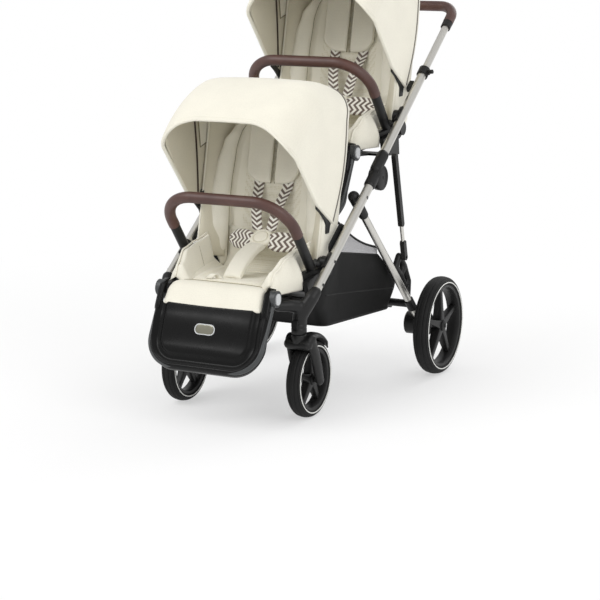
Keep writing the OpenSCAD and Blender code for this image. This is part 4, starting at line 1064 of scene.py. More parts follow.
def leg_surface(x, along):
    """How far a leg rest's face stands in front of its frame."""
    return (curve_through([(-40, 16), (-10, 27), (30, 28), (70, 25), (150, 16), (222, 3)], along)
            - 10 * (abs(x) / 160) ** 4)


class PUSHCHAIR_OT_leg_rests(bpy.types.Operator):
    """Leg rests: a cream cushion over the knee and a moulded boot with a raised rim and a bare plate"""

    bl_idname = "pushchair.leg_rests"
    bl_label = "Leg rests"

    def execute(self, context):
        for end in ("front", "rear"):
            forward = (leg_at(end, 0, 0, 1) - leg_at(end, 0, 0, 0)).normalized()
            path = [Vector(p) for p in LEG_CUSHION]

            def follow(obj):
                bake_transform(obj)
                return obj

            def cushion(u, v, lift=-11.0):
                """Point on the cushion's middle sheet and the way it faces, from the seat over the knee."""
                low = Vector(beside(KNEE, LEG_ANGLE, 43 + 12 * (1 - (2 * u - 1) ** 2), -27))
                line = path + [low]
                spot = rounded_walk(line, v, 0.08)
                ahead = rounded_walk(line, min(1, v + 0.03), 0.08)
                run = ahead - rounded_walk(line, max(0, v - 0.03), 0.08)
                facing = Vector((0, run.y, -run.x)).normalized()
                x = (2 * u - 1) * curve_through([(0.0, 136), (0.45, 140), (0.7, 145), (1.0, 148)], v)
                round_off = 6 * abs(2 * u - 1) ** 6
                return seat_at(end, x, *spot) + facing * ((lift - round_off) * MM), facing

            pad = piece(f"{end}_leg_cushion", pillow(cushion, 22, 56, 34, corner=0.1), "cream")
            follow(pad)
            edge = [cushion(u / 40, 0.13, 0.6)[0] for u in range(1, 40)]
            follow(piped(f"{end}_leg_seam", [edge], 1.2, "seam"))

            top, low, corner, half = 36, 213, 82, 168

            def half_width(along):
                past = max(0.0, along - (low - corner))
                return half - corner + math.sqrt(max(0.0, corner ** 2 - past ** 2))

            def rim_gap(x, along):
                """Distance in from the boot's outline."""
                inner = half - corner
                if along > low - corner and abs(x) > inner:
                    return corner - math.hypot(abs(x) - inner, along - (low - corner))
                return min(half_width(along) - abs(x), low - along)

            def boot_off(x, along):
                gap = rim_gap(x, along)
                edge = 10
                off = leg_surface(x, along)
                if gap < edge:
                    off -= edge - math.sqrt(max(0.0, edge ** 2 - (edge - gap) ** 2))
                # raised rim, a moat inside it, then the crowned middle panel
                hollow = 5 * ease((gap - 16) / 10) * (1 - ease((gap - 34) / 9))
                return off + 5 * math.exp(-((gap - 9) / 6) ** 2) - hollow

            def boot(u, v):
                fine = 1 - (1 - v) ** 1.5
                along = mix(top + 9 * (1 - (2 * u - 1) ** 2) * (1 - fine), low, fine)
                x = math.sin((u - 0.5) * math.pi * 0.96) / math.sin(0.48 * math.pi) * half_width(along)
                return leg_at(end, x, along, boot_off(x, along))

            bm = mapped(boot, 104, 72, (0.34, 0.18))
            rim = [e for e in bm.edges if e.is_boundary]
            turned_in = bmesh.ops.extrude_edge_only(bm, edges=rim)
            verts = [v for v in turned_in["geom"] if isinstance(v, bmesh.types.BMVert)]
            bmesh.ops.translate(bm, verts=verts, vec=-forward * (9 * MM))
            bmesh.ops.remove_doubles(bm, verts=bm.verts, dist=1e-6)
            bmesh.ops.recalc_face_normals(bm, faces=bm.faces)
            cover = piece(f"{end}_boot", bm, "boot", f"{end}_leg_rest")
            thicken(cover, 2.5, offset=-1)
            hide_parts(f"{end}_leg_pad")

            # ears: the boot's sides run up past the cushion to the knees
            ears = []
            for side in (1, -1):
                def ear(u, v):
                    along = mix(-26, 62, v)
                    x = mix(mix(146, 150, v), mix(166, 168, v), u)
                    off = curve_through([(-26, 8), (-2, 22), (62, 19)], along) - 8 * u * u
                    facing = (forward + Vector((side * 0.3, 0, 0))).normalized()
                    return leg_at(end, side * x, along, off), facing

                ears.append(pillow(ear, 9, 14, 26, corner=0.3))
            piece(f"{end}_boot_ears", joined(ears), "boot", f"{end}_leg_rest")

            plate_along = 105

            def plate(u, v):
                a = math.pi * (v - 0.5)
                wide = 15 + 13 * math.cos(a)
                x = (2 * u - 1) * wide
                along = plate_along + 13.5 * math.sin(a)
                return leg_at(end, x, along, boot_off(x, along) + 0.6), forward

            piece(f"{end}_boot_plate", pillow(plate, 3.4, 28, 18, corner=0.3, round_by=3), "badge",
                  f"{end}_leg_rest")
            ring = []
            for k in range(72):
                a = math.tau * k / 72
                waist = 1 - 0.1 * math.exp(-(math.cos(a) / 0.3) ** 2)
                x = 15 * math.tanh(3 * math.cos(a)) + 13.5 * math.cos(a)
                along = plate_along + 14 * waist * math.sin(a)
                ring.append(leg_at(end, x, along, boot_off(x, along) + 1.4))
            piped(f"{end}_boot_plate_rim", [ring], 1.5, "button", f"{end}_leg_rest", closed=True)
        return {"FINISHED"}


# A back cover's ends along the backrest, and how far it narrows towards the top
COVER_ENDS = (6, 456)
COVER_NARROW = [(0, 1.0), (380, 1.0), (456, 0.74)]


class PUSHCHAIR_OT_covers(bpy.types.Operator):
    """Outer covers behind the back cushions, stretched round the back frames"""

    bl_idname = "pushchair.covers"
    bl_label = "Back covers"

    def execute(self, context):
        for end in ("front", "rear"):
            def section(along):
                """Half of the cover's section: behind the bars, forward, and round the tube."""
                narrow = curve_through(COVER_NARROW, along)
                depth = curve_through([(0, 98), (40, 114), (390, 114), (456, 40)], along)
                side, turn = 189 * narrow, 46
                points = [Vector((0, -depth - 4)), Vector((side - turn, -depth))]
                points += [Vector((side - turn + turn * math.sin(a), -depth + turn * (1 - math.cos(a))))
                           for a in (k * math.pi / 16 for k in range(1, 9))]
                points += [Vector((side - 11 * (1 - math.cos(a)), 3 + 9 * math.sin(a)))
                           for a in (k * math.pi / 8 for k in range(4))]
                return points

            def cover(u, v):
                along = mix(*COVER_ENDS, v)
                x, off = walk(section(along), abs(2 * u - 1))
                return back_at(end, math.copysign(x, u - 0.5), along, off)

            # inside, a lining panel from the tube's front to the cushion
            facings = []
            for sign in (1, -1):
                def facing(u, v):
                    along = mix(*COVER_ENDS, v)
                    narrow = curve_through(COVER_NARROW, along)
                    line = [Vector((186, 9)), Vector((180, 12)), Vector((168, 6)), Vector((150, -14)),
                            Vector((128, -46))]
                    x, off = rounded_walk(line, u, 0.1)
                    return back_at(end, sign * x * narrow, along, off)

                facings.append(mapped(facing, 14, 44, (0.07, 0.45)))
            panel = piece(f"{end}_back_facings", joined(facings), "lining", f"{end}_backrest")
            thicken(panel, 1.6)

            bm = mapped(cover, 96, 48, (0.7, 0.45))
            sheet = piece(f"{end}_back_cover", bm, "cream", f"{end}_backrest")
            thicken(sheet, 2)
            hems = [[cover(u, v / 40) for v in range(41)] for u in (0.0, 1.0)]
            piped(f"{end}_back_cover_hem", hems, 2.4, "cream", f"{end}_backrest")
            behind = back_at(end, 0, 0, -1.6) - back_at(end, 0, 0, 0)
            seams = [[cover(u, v / 40) + behind for v in range(41)] for u in (0.36, 0.64)]
            tape = piped(f"{end}_back_cover_seams", seams, 1.2, "seam", f"{end}_backrest")
            # the front seat's cover meets the rear leg rest when it reclines; here it and its seam tape only
            # get meshes of their own
            if end == "front":
                for soft in (sheet, tape):
                    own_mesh(soft)
        return {"FINISHED"}


# Ends of a canopy's low edge, and that edge's distance from the pivot
CANOPY_LOW_FRONT = (-36, 176)
CANOPY_LOW_REAR = (58, 113)
CANOPY_LOW_R = 14


def canopy_section(u, inset):
    """x and radius of a canopy's section, u from 0 at one side's low edge over the top to 1 at the other."""
    half_w, r, bend = CANOPY_HALF_W - inset, CANOPY_R - inset, CANOPY_BEND
    straight = r - bend - CANOPY_LOW_R
    flat = half_w - bend
    total = straight + bend * math.pi / 2 + flat
    d = (1 - abs(2 * u - 1)) * total
    if d < straight:
        x, out = half_w, CANOPY_LOW_R + d
    elif d < straight + bend * math.pi / 2:
        a = (d - straight) / bend
        x, out = half_w - bend * (1 - math.cos(a)), r - bend * (1 - math.sin(a))
    else:
        x, out = half_w - bend - (d - straight - bend * math.pi / 2), r
    crown = 8 * (1 - (x / half_w) ** 2) * ease((out - 150) / 120)
    return math.copysign(x, 0.5 - u), out + crown


def canopy_at(end, u, angle, inset=0.0):
    """Point on a canopy: u over its section, angle about its pivot, inset in mm from the outer face."""
    share = (angle - CANOPY_REAR) / (CANOPY_FRONT - CANOPY_REAR)
    x, out = canopy_section(u, inset)
    # the front rim's sides stand further forward than its middle
    angle += 10 * max(0.0, share) ** 2 * min(1.0, max(0.0, (abs(x) - 80) / 115)) ** 1.6
    bend_at = CANOPY_R - CANOPY_BEND

    def reach(r):
        # taut cloth dips a little between the three ribs, and the front drops towards the rim
        dip = 5 * math.sin(math.pi * ((share * 2) % 1)) * ease((r - 120) / 150)
        return r - dip - 6 * max(0.0, (angle - 90) / 43) ** 2

    if out >= bend_at:
        y, z = beside(CANOPY_PIVOT, angle, reach(out), 0)
    else:
        # the sides hang from the bend to a low edge that is wider than the pivot
        t = (out - CANOPY_LOW_R) / (bend_at - CANOPY_LOW_R)
        top = beside(CANOPY_PIVOT, angle, reach(bend_at), 0)
        bulge = 24 * math.sin(math.pi * t) * (1 - share) ** 2
        y = mix(mix(CANOPY_LOW_REAR[0], CANOPY_LOW_FRONT[0], share), top[0], t) + 0.9 * bulge
        z = mix(mix(CANOPY_LOW_REAR[1], CANOPY_LOW_FRONT[1], share), top[1], t) - 0.3 * bulge
    return seat_at(end, x, y, z)


class PUSHCHAIR_OT_canopies(bpy.types.Operator):
    """Canopies: one sheet from rear seam to front rim, with lining, ribs, windows, piping and clips"""

    bl_idname = "pushchair.canopies"
    bl_label = "Canopies"

    def execute(self, context):
        for end in ("front", "rear"):
            low, high = CANOPY_REAR, CANOPY_FRONT

            def follow(obj):
                canopy_at(end, 0.5, low)
                canopy_at(end, 0.5, high)
                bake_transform(obj)
                return obj

            bm = mapped(lambda u, v: canopy_at(end, u, mix(low, high, v)), 120, 40, (0.9, 0.39))
            bmesh.ops.recalc_face_normals(bm, faces=bm.faces)
            sheet = piece(f"{end}_canopy_sheet", bm, "cream")
            follow(sheet)
            thicken(sheet, 2)
            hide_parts(f"{end}_canopy_rear", f"{end}_canopy_front")
            bm = mapped(lambda u, v: canopy_at(end, u, mix(low + 1, high - 1, v), 6), 100, 32, (0.88, 0.38))
            lining = piece(f"{end}_canopy_lining", bm, "lining")
            follow(lining)
            thicken(lining, 1.2)
            edges = [[canopy_at(end, k / 130, high, 3) for k in range(131)]]
            edges += [[canopy_at(end, u, mix(low, high, k / 20), 3) for k in range(21)] for u in (0.0, 1.0)]
            follow(piped(f"{end}_canopy_rim", edges, 5, "cream", sides=5))
            hem = [canopy_at(end, k / 130, low, 2) for k in range(131)]
            follow(piped(f"{end}_canopy_hem", [hem], 2.6, "cream"))
            seam = [canopy_at(end, k / 130, low + 3.2, -1) for k in range(131)]
            follow(piped(f"{end}_canopy_piping", [seam], 2.4, "piping"))
            ribs = [[canopy_at(end, k / 90, a, 9) for k in range(1, 90)] for a in (70, 98)]
            follow(piped(f"{end}_canopy_ribs", ribs, 2.4, "rib"))
            windows, tapes = [], []
            for side in (0, 1):
                def window(u, v, inset=8.0):
                    a = mix(75, 94, v) + 3 * (u - 0.5)
                    share = mix(0.15 + 0.03 * (1 - v), 0.30, u)
                    return canopy_at(end, share if side else 1 - share, a, inset)

                windows.append(mapped(window, 16, 12, (0.13, 0.09)))
                tapes.append([window(u, v, 9.0) for u, v in
                              [(k / 12, 0) for k in range(12)] + [(1, k / 8) for k in range(8)]
                              + [(1 - k / 12, 1) for k in range(12)] + [(0, 1 - k / 8) for k in range(8)]])
            panes = piece(f"{end}_canopy_windows", joined(windows), "strap_pad")
            follow(panes)
            thicken(panes, 0.8)
            follow(piped(f"{end}_canopy_window_tape", tapes, 1.4, "seam", closed=True))

            # cloth between the canopy's rear edge and the backrest
            def curtain(u, v):
                edge = canopy_at(end, mix(0.2, 0.8, u), low, 5)
                foot = back_at(end, mix(150, -150, u) * (1 - 0.12 * (2 * u - 1) ** 2), 400, -112)
                point = edge.lerp(foot, v)
                return point + Vector((0, 0.012 * math.sin(math.pi * v), 0))

            drape = piece(f"{end}_canopy_curtain", mapped(curtain, 48, 16, (0.4, 0.1)), "cream",
                          f"{end}_backrest")
            thicken(drape, 1.6)

            # clips: angular black mouldings along the sides' low edges, down to the back's tubes
            clips = []
            outline = [(-30, 174), (-8, 167), (28, 142), (56, 116), (50, 104), (44, 86), (24, 86),
                       (25, 110), (18, 124), (-8, 146), (-30, 160)]
            for side in (1, -1):
                bm = bmesh.new()
                face = bm.faces.new([bm.verts.new(seat_at(end, 187.5, y, z)) for y, z in outline])
                grown = bmesh.ops.extrude_face_region(bm, geom=[face])
                bmesh.ops.translate(bm, vec=(5.5 * MM, 0, 0),
                                    verts=[v for v in grown["geom"] if isinstance(v, bmesh.types.BMVert)])
                bmesh.ops.recalc_face_normals(bm, faces=bm.faces)
                bmesh.ops.bevel(bm, geom=bm.edges[:], affect="EDGES", offset=1.6 * MM, offset_type="OFFSET",
                                segments=2, profile=0.5, material=-1)
                clips.append(bm if side > 0 else mirrored(bm))
            clips = piece(f"{end}_canopy_clips", joined(clips), "black", f"{end}_backrest")
            clips.data.shade_flat()
        return {"FINISHED"}


BUCKLE = (22, 60)
BUCKLE_ANGLE = 128


def buckle_at(end, x, up, out):
    """Place by a buckle: x across, up along its face, out in front of it."""
    y, z = beside(BUCKLE, BUCKLE_ANGLE, out, -up)
    return seat_at(end, x, y, z)


class PUSHCHAIR_OT_harnesses(bpy.types.Operator):
    """Five-point harnesses: chevron straps, shoulder, waist and crotch pads, and a round buckle"""

    bl_idname = "pushchair.harnesses"
    bl_label = "Harnesses"

    def execute(self, context):
        looks = context.scene.pushchair
        width = looks.strap_width
        for end in ("front", "rear"):
            body, back = CARRIER[end], f"{end}_backrest"
            tree = surface_of(bpy.data.objects[f"{end}_back_cushion"])
            forward = BACK_FORWARD

            def on_cushion(x, along, lift):
                return dropped(tree, back_at(end, x, along, -30), -forward, lift)

            # shoulder straps: down the back under the pads, then free to the buckle
            straps = []
            for side in (1, -1):
                spine = [on_cushion(side * 44, s, 4) for s in range(404, 200, -22)]
                foot = buckle_at(end, side * 20, 24, 4)
                knot = spine[-1]
                spine += [knot.lerp(foot, k / 7) + forward * (0.012 * math.sin(math.pi * k / 7))
                          for k in range(1, 8)]
                length = sum((b - a).length for a, b in zip(spine, spine[1:]))

                def ribbon(u, v):
                    d = v * (len(spine) - 1)
                    i = min(int(d), len(spine) - 2)
                    middle = spine[i].lerp(spine[i + 1], d - i)
                    lean = mix(0.0, 0.35 * side, ease((v - 0.5) / 0.5))
                    return middle + Vector((1, 0, lean * 0.3)) * ((u - 0.5) * width * MM)

                straps.append(mapped(ribbon, 8, 56, (width * MM, length)))
            webbing = piece(f"{end}_shoulder_straps", joined(straps), "webbing")
            thicken(webbing, 1.8)
            start, stop = on_cushion(0, 210, 0), buckle_at(end, 0, 20, 0)
            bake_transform(webbing)

            # cream pads over the upper straps, rounded low outside, with a dark line between them
            pads, lines = [], []
            for side in (1, -1):
                def shoulder(u, v):
                    low = 214 + 34 * max(0.0, (u - 0.35) / 0.65) ** 2.5
                    along = mix(412, low, v)
                    return on_cushion(side * mix(4, 80, u), along, 10), forward

                pads.append(pillow(shoulder, 17, 24, 48, corner=0.14))
                lines.append([shoulder(0.02, k / 24)[0] + forward * (2 * MM) for k in range(2, 25)])
            shoulder_pads = piece(f"{end}_shoulder_pads", joined(pads), "strap_pad", back)
            thicken(shoulder_pads, 0, levels=1)
            piped(f"{end}_shoulder_pad_seams", lines, 1.3, "seam", back)

            # waist pads: leaves with the same chevrons, from the buckle round to the hips
            pads = []
            for side in (1, -1):
                def waist(u, v):
                    x = side * mix(24, 112, v)
                    half = 29 * curve_through([(0.0, 0.7), (0.3, 1.0), (0.65, 0.96), (1.0, 0.4)], v)
                    up = (2 * u - 1) * half
                    facing = Vector((side * -0.25 * v, -0.86, 0.45)).normalized()
                    return seat_at(end, x, mix(18, 44, ease(v)) + up * 0.42,
                                   mix(55, 50, v) + up * 0.9), facing

                pads.append(pillow(waist, 14, 20, 26, (2 * width * MM, 0.094), corner=0.3))
            waist_pads = piece(f"{end}_waist_pads", joined(pads), "webbing", body)
            thicken(waist_pads, 0, levels=1)

            # crotch pad from the seat up to the buckle, with a sewn flap at its top
            def crotch(u, v):
                y = mix(-142, 0, v)
                z = mix(-26, 40, v) + 15 * math.sin(math.pi * v)
                half = curve_through([(0.0, 27), (0.4, 27), (1.0, 26)], v)
                facing = Vector((0, -0.5, 0.87)).normalized()
                return seat_at(end, (2 * u - 1) * half, y, z + 3 + 4 * (1 - (2 * u - 1) ** 2)), facing

            crotch_pad = piece(f"{end}_crotch_pad", pillow(crotch, 16, 24, 48, corner=0.16), "strap_pad",
                               body)
            thicken(crotch_pad, 0, levels=1)

            def flap(u, v):
                point, facing = crotch(u, mix(0.8, 0.96, v))
                return point + facing * (5 * MM), facing

            piece(f"{end}_crotch_flap", pillow(flap, 9, 18, 12, corner=0.2), "strap_pad", body)

            # small loop at the front of the seat
            def loop(u, v):
                a = math.pi * v
                return seat_at(end, -36 + (u - 0.5) * 18 + 26 * (v - 0.5), -170 - 6 * math.cos(a),
                               -24 + 12 * math.sin(a) + 4)

            tab = piece(f"{end}_seat_tab", mapped(loop, 4, 16, (0.018, 0.05)), "cream", body)
            thicken(tab, 2)

            # round buckle: a bevelled body, and a domed button that presses
            shell = turned([(-7, 0), (-7, 26), (-5.5, 30), (-2, 32), (2, 32), (5.5, 30), (7, 26.5),
                            (7.2, 22), (5, 21), (4, 20.6), (4, 0)], 56, Vector((0, 0, 0)), "Z")
            dome = turned([(0.5, 0), (0.5, 19.6), (6.5, 19.6), (8.6, 18), (9.6, 14), (10.2, 0)], 48,
                          Vector((0, 0, 0)), "Z")
            tilt = Matrix.Rotation(math.radians(BUCKLE_ANGLE - 90), 4, "X")
            place = Matrix.Translation(buckle_at(end, 0, 0, 0)) @ tilt
            for name, bm, rides, node in (("buckle_shell", shell, body, "buckle"),
                                          ("buckle_dome", dome, f"{end}_buckle_button", "buckle_button")):
                bmesh.ops.transform(bm, matrix=place, verts=bm.verts)
                obj = piece(f"{end}_{name}", bm, "buckle", rides)
                thicken(obj, 0, bevel=0.6)
                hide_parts(f"{end}_{node}")
        return {"FINISHED"}


# The basket's rim height and half width along its length, its foot's half width and its sides' bulge
BASKET_RIM = [(-12, 294), (15, 316), (100, 376), (150, 416), (400, 370), (532, 268)]
BASKET_HALF = [(-12, 188), (60, 202), (100, 200), (150, 194), (300, 194), (385, 197), (450, 203),
               (532, 203)]
BASKET_FOOT_HALF = 188
BASKET_BULGE = 4


def basket_plan(turn):
    """Point on a rounded square, walked evenly from the middle of one side."""
    corner = 0.12
    ring = [Vector((1, 0))]
    for k in range(4):
        middle = Matrix.Rotation(k * math.pi / 2, 2) @ Vector((1 - corner, 1 - corner))
        ring += [middle + corner * Vector((math.cos(a), math.sin(a)))
                 for a in (k * math.pi / 2 + j * math.pi / 16 for j in range(9))]
    return walk(ring + [Vector((1, 0))], turn)


def basket_at(turn, level, out=0.0):
    """Point on the basket: turn round its plan from 0 to 1, level from its floor's edge, 0, to its rim, 1."""
    cx, cy = basket_plan(turn)
    y = mix(mix(94, -12, level), mix(508, 532, level), (cy + 1) / 2)
    half = mix(BASKET_FOOT_HALF, straight_through(BASKET_HALF, y), ease(level)) + out
    half += BASKET_BULGE * math.sin(math.pi * level)
    low = 225 - 28 * (cy + 1) / 2
    z = mix(low, straight_through(BASKET_RIM, y), level)
    return at(half * cx, y + out * cy, z)


def basket_side(side, y, z, out):
    """Point on one of the basket's long sides."""
    low = straight_through([(94, 225), (496, 197)], y)
    level = (z - low) / (straight_through(BASKET_RIM, y) - low)
    half = mix(BASKET_FOOT_HALF, straight_through(BASKET_HALF, y), ease(level))
    half += BASKET_BULGE * math.sin(math.pi * min(1, max(0, level)))
    return at(side * (half + out), y, z)


class PUSHCHAIR_OT_basket(bpy.types.Operator):
    """Basket: a taut bag of coated cloth with bound edges, sewn panels, net sides and straps"""

    bl_idname = "pushchair.basket"
    bl_label = "Basket"

    def execute(self, context):
        def bag(u, v):
            if v < 0.3:
                edge = basket_at(u, 0.0)
                centre = at(0, 300, 210)
                share = v / 0.3
                point = centre.lerp(edge, share)
                point.z = mix(centre.z, edge.z, share) - 0.006 * (1 - share ** 2)
                return point
            return basket_at(u, (v - 0.3) / 0.7)

        bm = mapped(bag, 256, 40, (1.4, 0.5))
        bmesh.ops.remove_doubles(bm, verts=bm.verts, dist=1e-5)
        bmesh.ops.recalc_face_normals(bm, faces=bm.faces)
        obj = piece("basket_bag", bm, "bag", "frame")
        thicken(obj, 2, offset=1)
        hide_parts("basket")
        rim = [basket_at(k / 256, 1.0) for k in range(256)]
        piped("basket_rim_tape", [rim], 3, "tape", "frame", closed=True)
        foot = [basket_at(k / 256, 0.02, 1.4) for k in range(256)]
        piped("basket_foot_tape", [foot], 1.8, "tape", "frame", closed=True)
        seams = [[basket_side(side, y, 318 - 0.1306 * (y - 44), 1.6) for y in range(62, 500, 12)]
                 for side in (1, -1)]
        piped("basket_seams", seams, 1.7, "tape", "frame")

        # net panels above the sides, with an elastic along the top
        nets, cords = [], []
        for side in (1, -1):
            def upper(t):
                y = mix(172, 398, t)
                return y, mix(494, 392, t) - 14 * math.sin(math.pi * t)

            def net(u, v):
                y, top = upper(u)
                low = straight_through(BASKET_RIM, y) - 3
                x = mix(straight_through(BASKET_HALF, y) + 1, mix(188.5, 198.5, u ** 1.8), ease(v))
                return at(side * x, mix(y - 8 * (1 - u), y, v), mix(low, top, v))

            nets.append(mapped(net, 28, 12, (0.23, 0.08)))
            cords.append([net(k / 28, 1.0) for k in range(29)])
        panel = piece("basket_nets", joined(nets), "net", "frame")
        thicken(panel, 0.8)
        piped("basket_net_elastic", cords, 3.2, "tape", "frame")

        # a band beside each tube, from the rim's front corner to the net's elastic
        straps = []
        for side in (1, -1):
            def strap(u, v):
                wide = ease(min(1.0, 0.25 + 6 * v, 0.25 + 6 * (1 - v)))
                y, z = beside(HINGE, LOWER_ANGLE, mix(-314, -206, v), mix(15, 37, u * wide))
                return at(side * mix(209, 203, u), y, z)

            straps.append(mapped(strap, 4, 14, (0.016, 0.1)))
        straps = piece("basket_straps", joined(straps), "tape", "frame")
        thicken(straps, 2)
        return {"FINISHED"}


def cast(name, chains, finish, body, voxel=2.5, rounds=6, extra=()):
    """A smooth moulding: chains of (x, y, z, radius) limbs merged by a voxel remesh, and turned parts."""
    bm = bmesh.new()
    for flat, chain in chains:
        for p, q in zip(chain, chain[1:]):
            a, b = Vector(p[:3]), Vector(q[:3])
            steps = max(1, math.ceil((b - a).length / (0.5 * min(p[3], q[3]))))
            for k in range(steps + 1):
                t = k / steps
                place = Matrix.Translation(at(*a.lerp(b, t))) @ Matrix.Diagonal((flat, 1, 1, 1))
                bmesh.ops.create_icosphere(bm, subdivisions=3, radius=mix(p[3], q[3], t) * MM, matrix=place)
    obj = piece(name, bm, finish)
    remeshed(obj, voxel)
    bm = joined([relaxed(obj, rounds), *extra])
    bm.to_mesh(obj.data)
    bm.free()
    obj.data.shade_smooth()
    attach(obj, body)
    return obj


# Limbs of the mouldings on the left side, as x, y, z and radius in mm
KNUCKLE_STEM = [(222, -30, 343, 16.4), (217, -41, 330, 18.4), (206, -51, 309, 20), (192, -57, 285, 20.4),
                (189, -57, 258, 20.2)]
KNUCKLE_ARM = [(197, -52, 306, 19), (178, -84, 314, 17), (157, -112, 316, 14.5)]
LEG_HEAD = [(193, 257.3, 552.4, 16.5), (196.2, 277.4, 527.7, 15.4), (200.3, 303.2, 496.9, 14.2)]
BRACKET_OUTER = [(229, 479, 356, 10), (231, 508, 324, 10.5), (234, 532, 276, 10), (236, 535, 232, 6)]
BRACKET_INNER = [(226, 462, 326, 10), (229, 488, 298, 11), (232, 512, 262, 10), (235, 530, 236, 6)]
# The casters' upright axis, in front of the front axle
CASTER_Y = -57
# A mudguard's half width along its arc, as a share of the widest
GUARD_WIDTH = [(0.0, 0.92), (0.25, 1.0), (0.8, 0.98), (1.0, 0.7)]


def sided(sign, limb):
    """A round limb on the left, sign 1, or on the right, sign -1."""
    return 1.0, [(sign * x, y, z, r) for x, y, z, r in limb]


class PUSHCHAIR_OT_castings(bpy.types.Operator):
    """Smooth mouldings: knuckles with their cross tube, fold hinges, leg brackets, forks and mudguards"""

    bl_idname = "pushchair.castings"
    bl_label = "Mouldings"

    def execute(self, context):
        knuckles = [sided(sign, limb) for sign in (1, -1) for limb in (KNUCKLE_STEM, KNUCKLE_ARM)]
        collars = [turned([(236, 0), (236, 19), (237, 20.2), (250, 20.4), (251, 19.6), (252.4, 19.6),
                           (253.4, 20.4), (266, 20.4), (266, 0)], 48,
                          at(sign * FRONT_WHEEL[0], CASTER_Y, 0), "Z")
                   for sign in (1, -1)]
        knuckle = cast("front_knuckles", knuckles, "black", "frame", extra=collars)
        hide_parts("front_crossbar")
        bar = turned([(-158, 0), (-158, 9), (158, 9), (158, 0)], 32, at(0, -112, 316))
        piece("front_cross_tube", bar, "tube", "frame")

        # fold hinges: a sleeve on each tube, and a smooth disc round the pivot
        for name, body, angle, off, reach, discs in (
                ("hinge_lower", "frame", LOWER_ANGLE, 20, (-50, 8),
                 [(-2, 0), (-2, 34), (11, 35), (14, 34), (16, 31), (16, 0)]),
                ("hinge_upper", "upper_frame", UPPER_ANGLE, 28, (4, 58),
                 [(-18, 0), (-18, 28), (-3, 30), (-3, 0)])):
            sleeves = [(1.0, [(sign * TUBE_X, *beside(HINGE, angle, along, off), 16.8) for along in reach])
                       for sign in (1, -1)]
            disc = turned(discs, 56, at(TUBE_X, *HINGE))
            other = disc.copy()
            sleeve = cast(f"{name}_sleeves", sleeves, "black", body, extra=[disc, mirrored(other)])
            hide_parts(name)

        # heads on the rear legs, and a bracket behind each leg that takes the link
        rungs = [list(rung) for rung in zip(BRACKET_OUTER, BRACKET_INNER)]
        fittings = [sided(sign, limb) for sign in (1, -1)
                    for limb in (LEG_HEAD, BRACKET_OUTER, BRACKET_INNER, *rungs)]
        fitting = cast("rear_leg_brackets", fittings, "black", "rear_legs", rounds=4)
        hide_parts("rear_leg_fittings")

        for side, sign in (("left", 1), ("right", -1)):
            mid = sign * FRONT_WHEEL[0]
            limbs = [(1.0, [(mid, CASTER_Y, 223, 15), (mid, -40, 223, 15)]),
                     (1.0, [(mid - 29, -45, 221, 14), (mid + 29, -45, 221, 14)]),
                     (1.0, [(mid - 26, -62, 208, 14.5), (mid + 26, -62, 208, 14.5)])]
            for way in (1, -1):
                limbs.append((0.6, [(mid + way * 31, -48, 216, 18), (mid + way * 33, -26, 166, 19),
                                    (mid + way * 33, -2, 104, 16)]))
            head = turned([(211, 0), (211, 18), (212.5, 19.5), (232, 20), (234.6, 19), (234.6, 0)], 48,
                          at(mid, CASTER_Y, 0), "Z")
            bolt = turned([(-42, 0), (-42, 6.5), (-40, 8), (40, 8), (42, 6.5), (42, 0)], 32,
                          at(mid, *FRONT_WHEEL[1:]))
            fork = cast(f"caster_{side}_fork", limbs, "black", f"caster_{side}", voxel=2.2, rounds=5,
                        extra=[head, bolt])
            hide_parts(f"caster_fork_{side}")

            def guard(u, v):
                a = math.radians(mix(118, 40, v))
                wide = (2 * u - 1) * 24 * curve_through(GUARD_WIDTH, v)
                r = 116 + 8 * math.sin(math.pi * v) - 10 * abs(2 * u - 1) ** 3
                return at(mid + wide, r * math.cos(a), FRONT_WHEEL[2] + r * math.sin(a))

            shell = piece(f"caster_{side}_mudguard", mapped(guard, 20, 36, (0.05, 0.15)), "black",
                          f"caster_{side}")
            thicken(shell, 5, offset=-1, bevel=1.5)
        return {"FINISHED"}


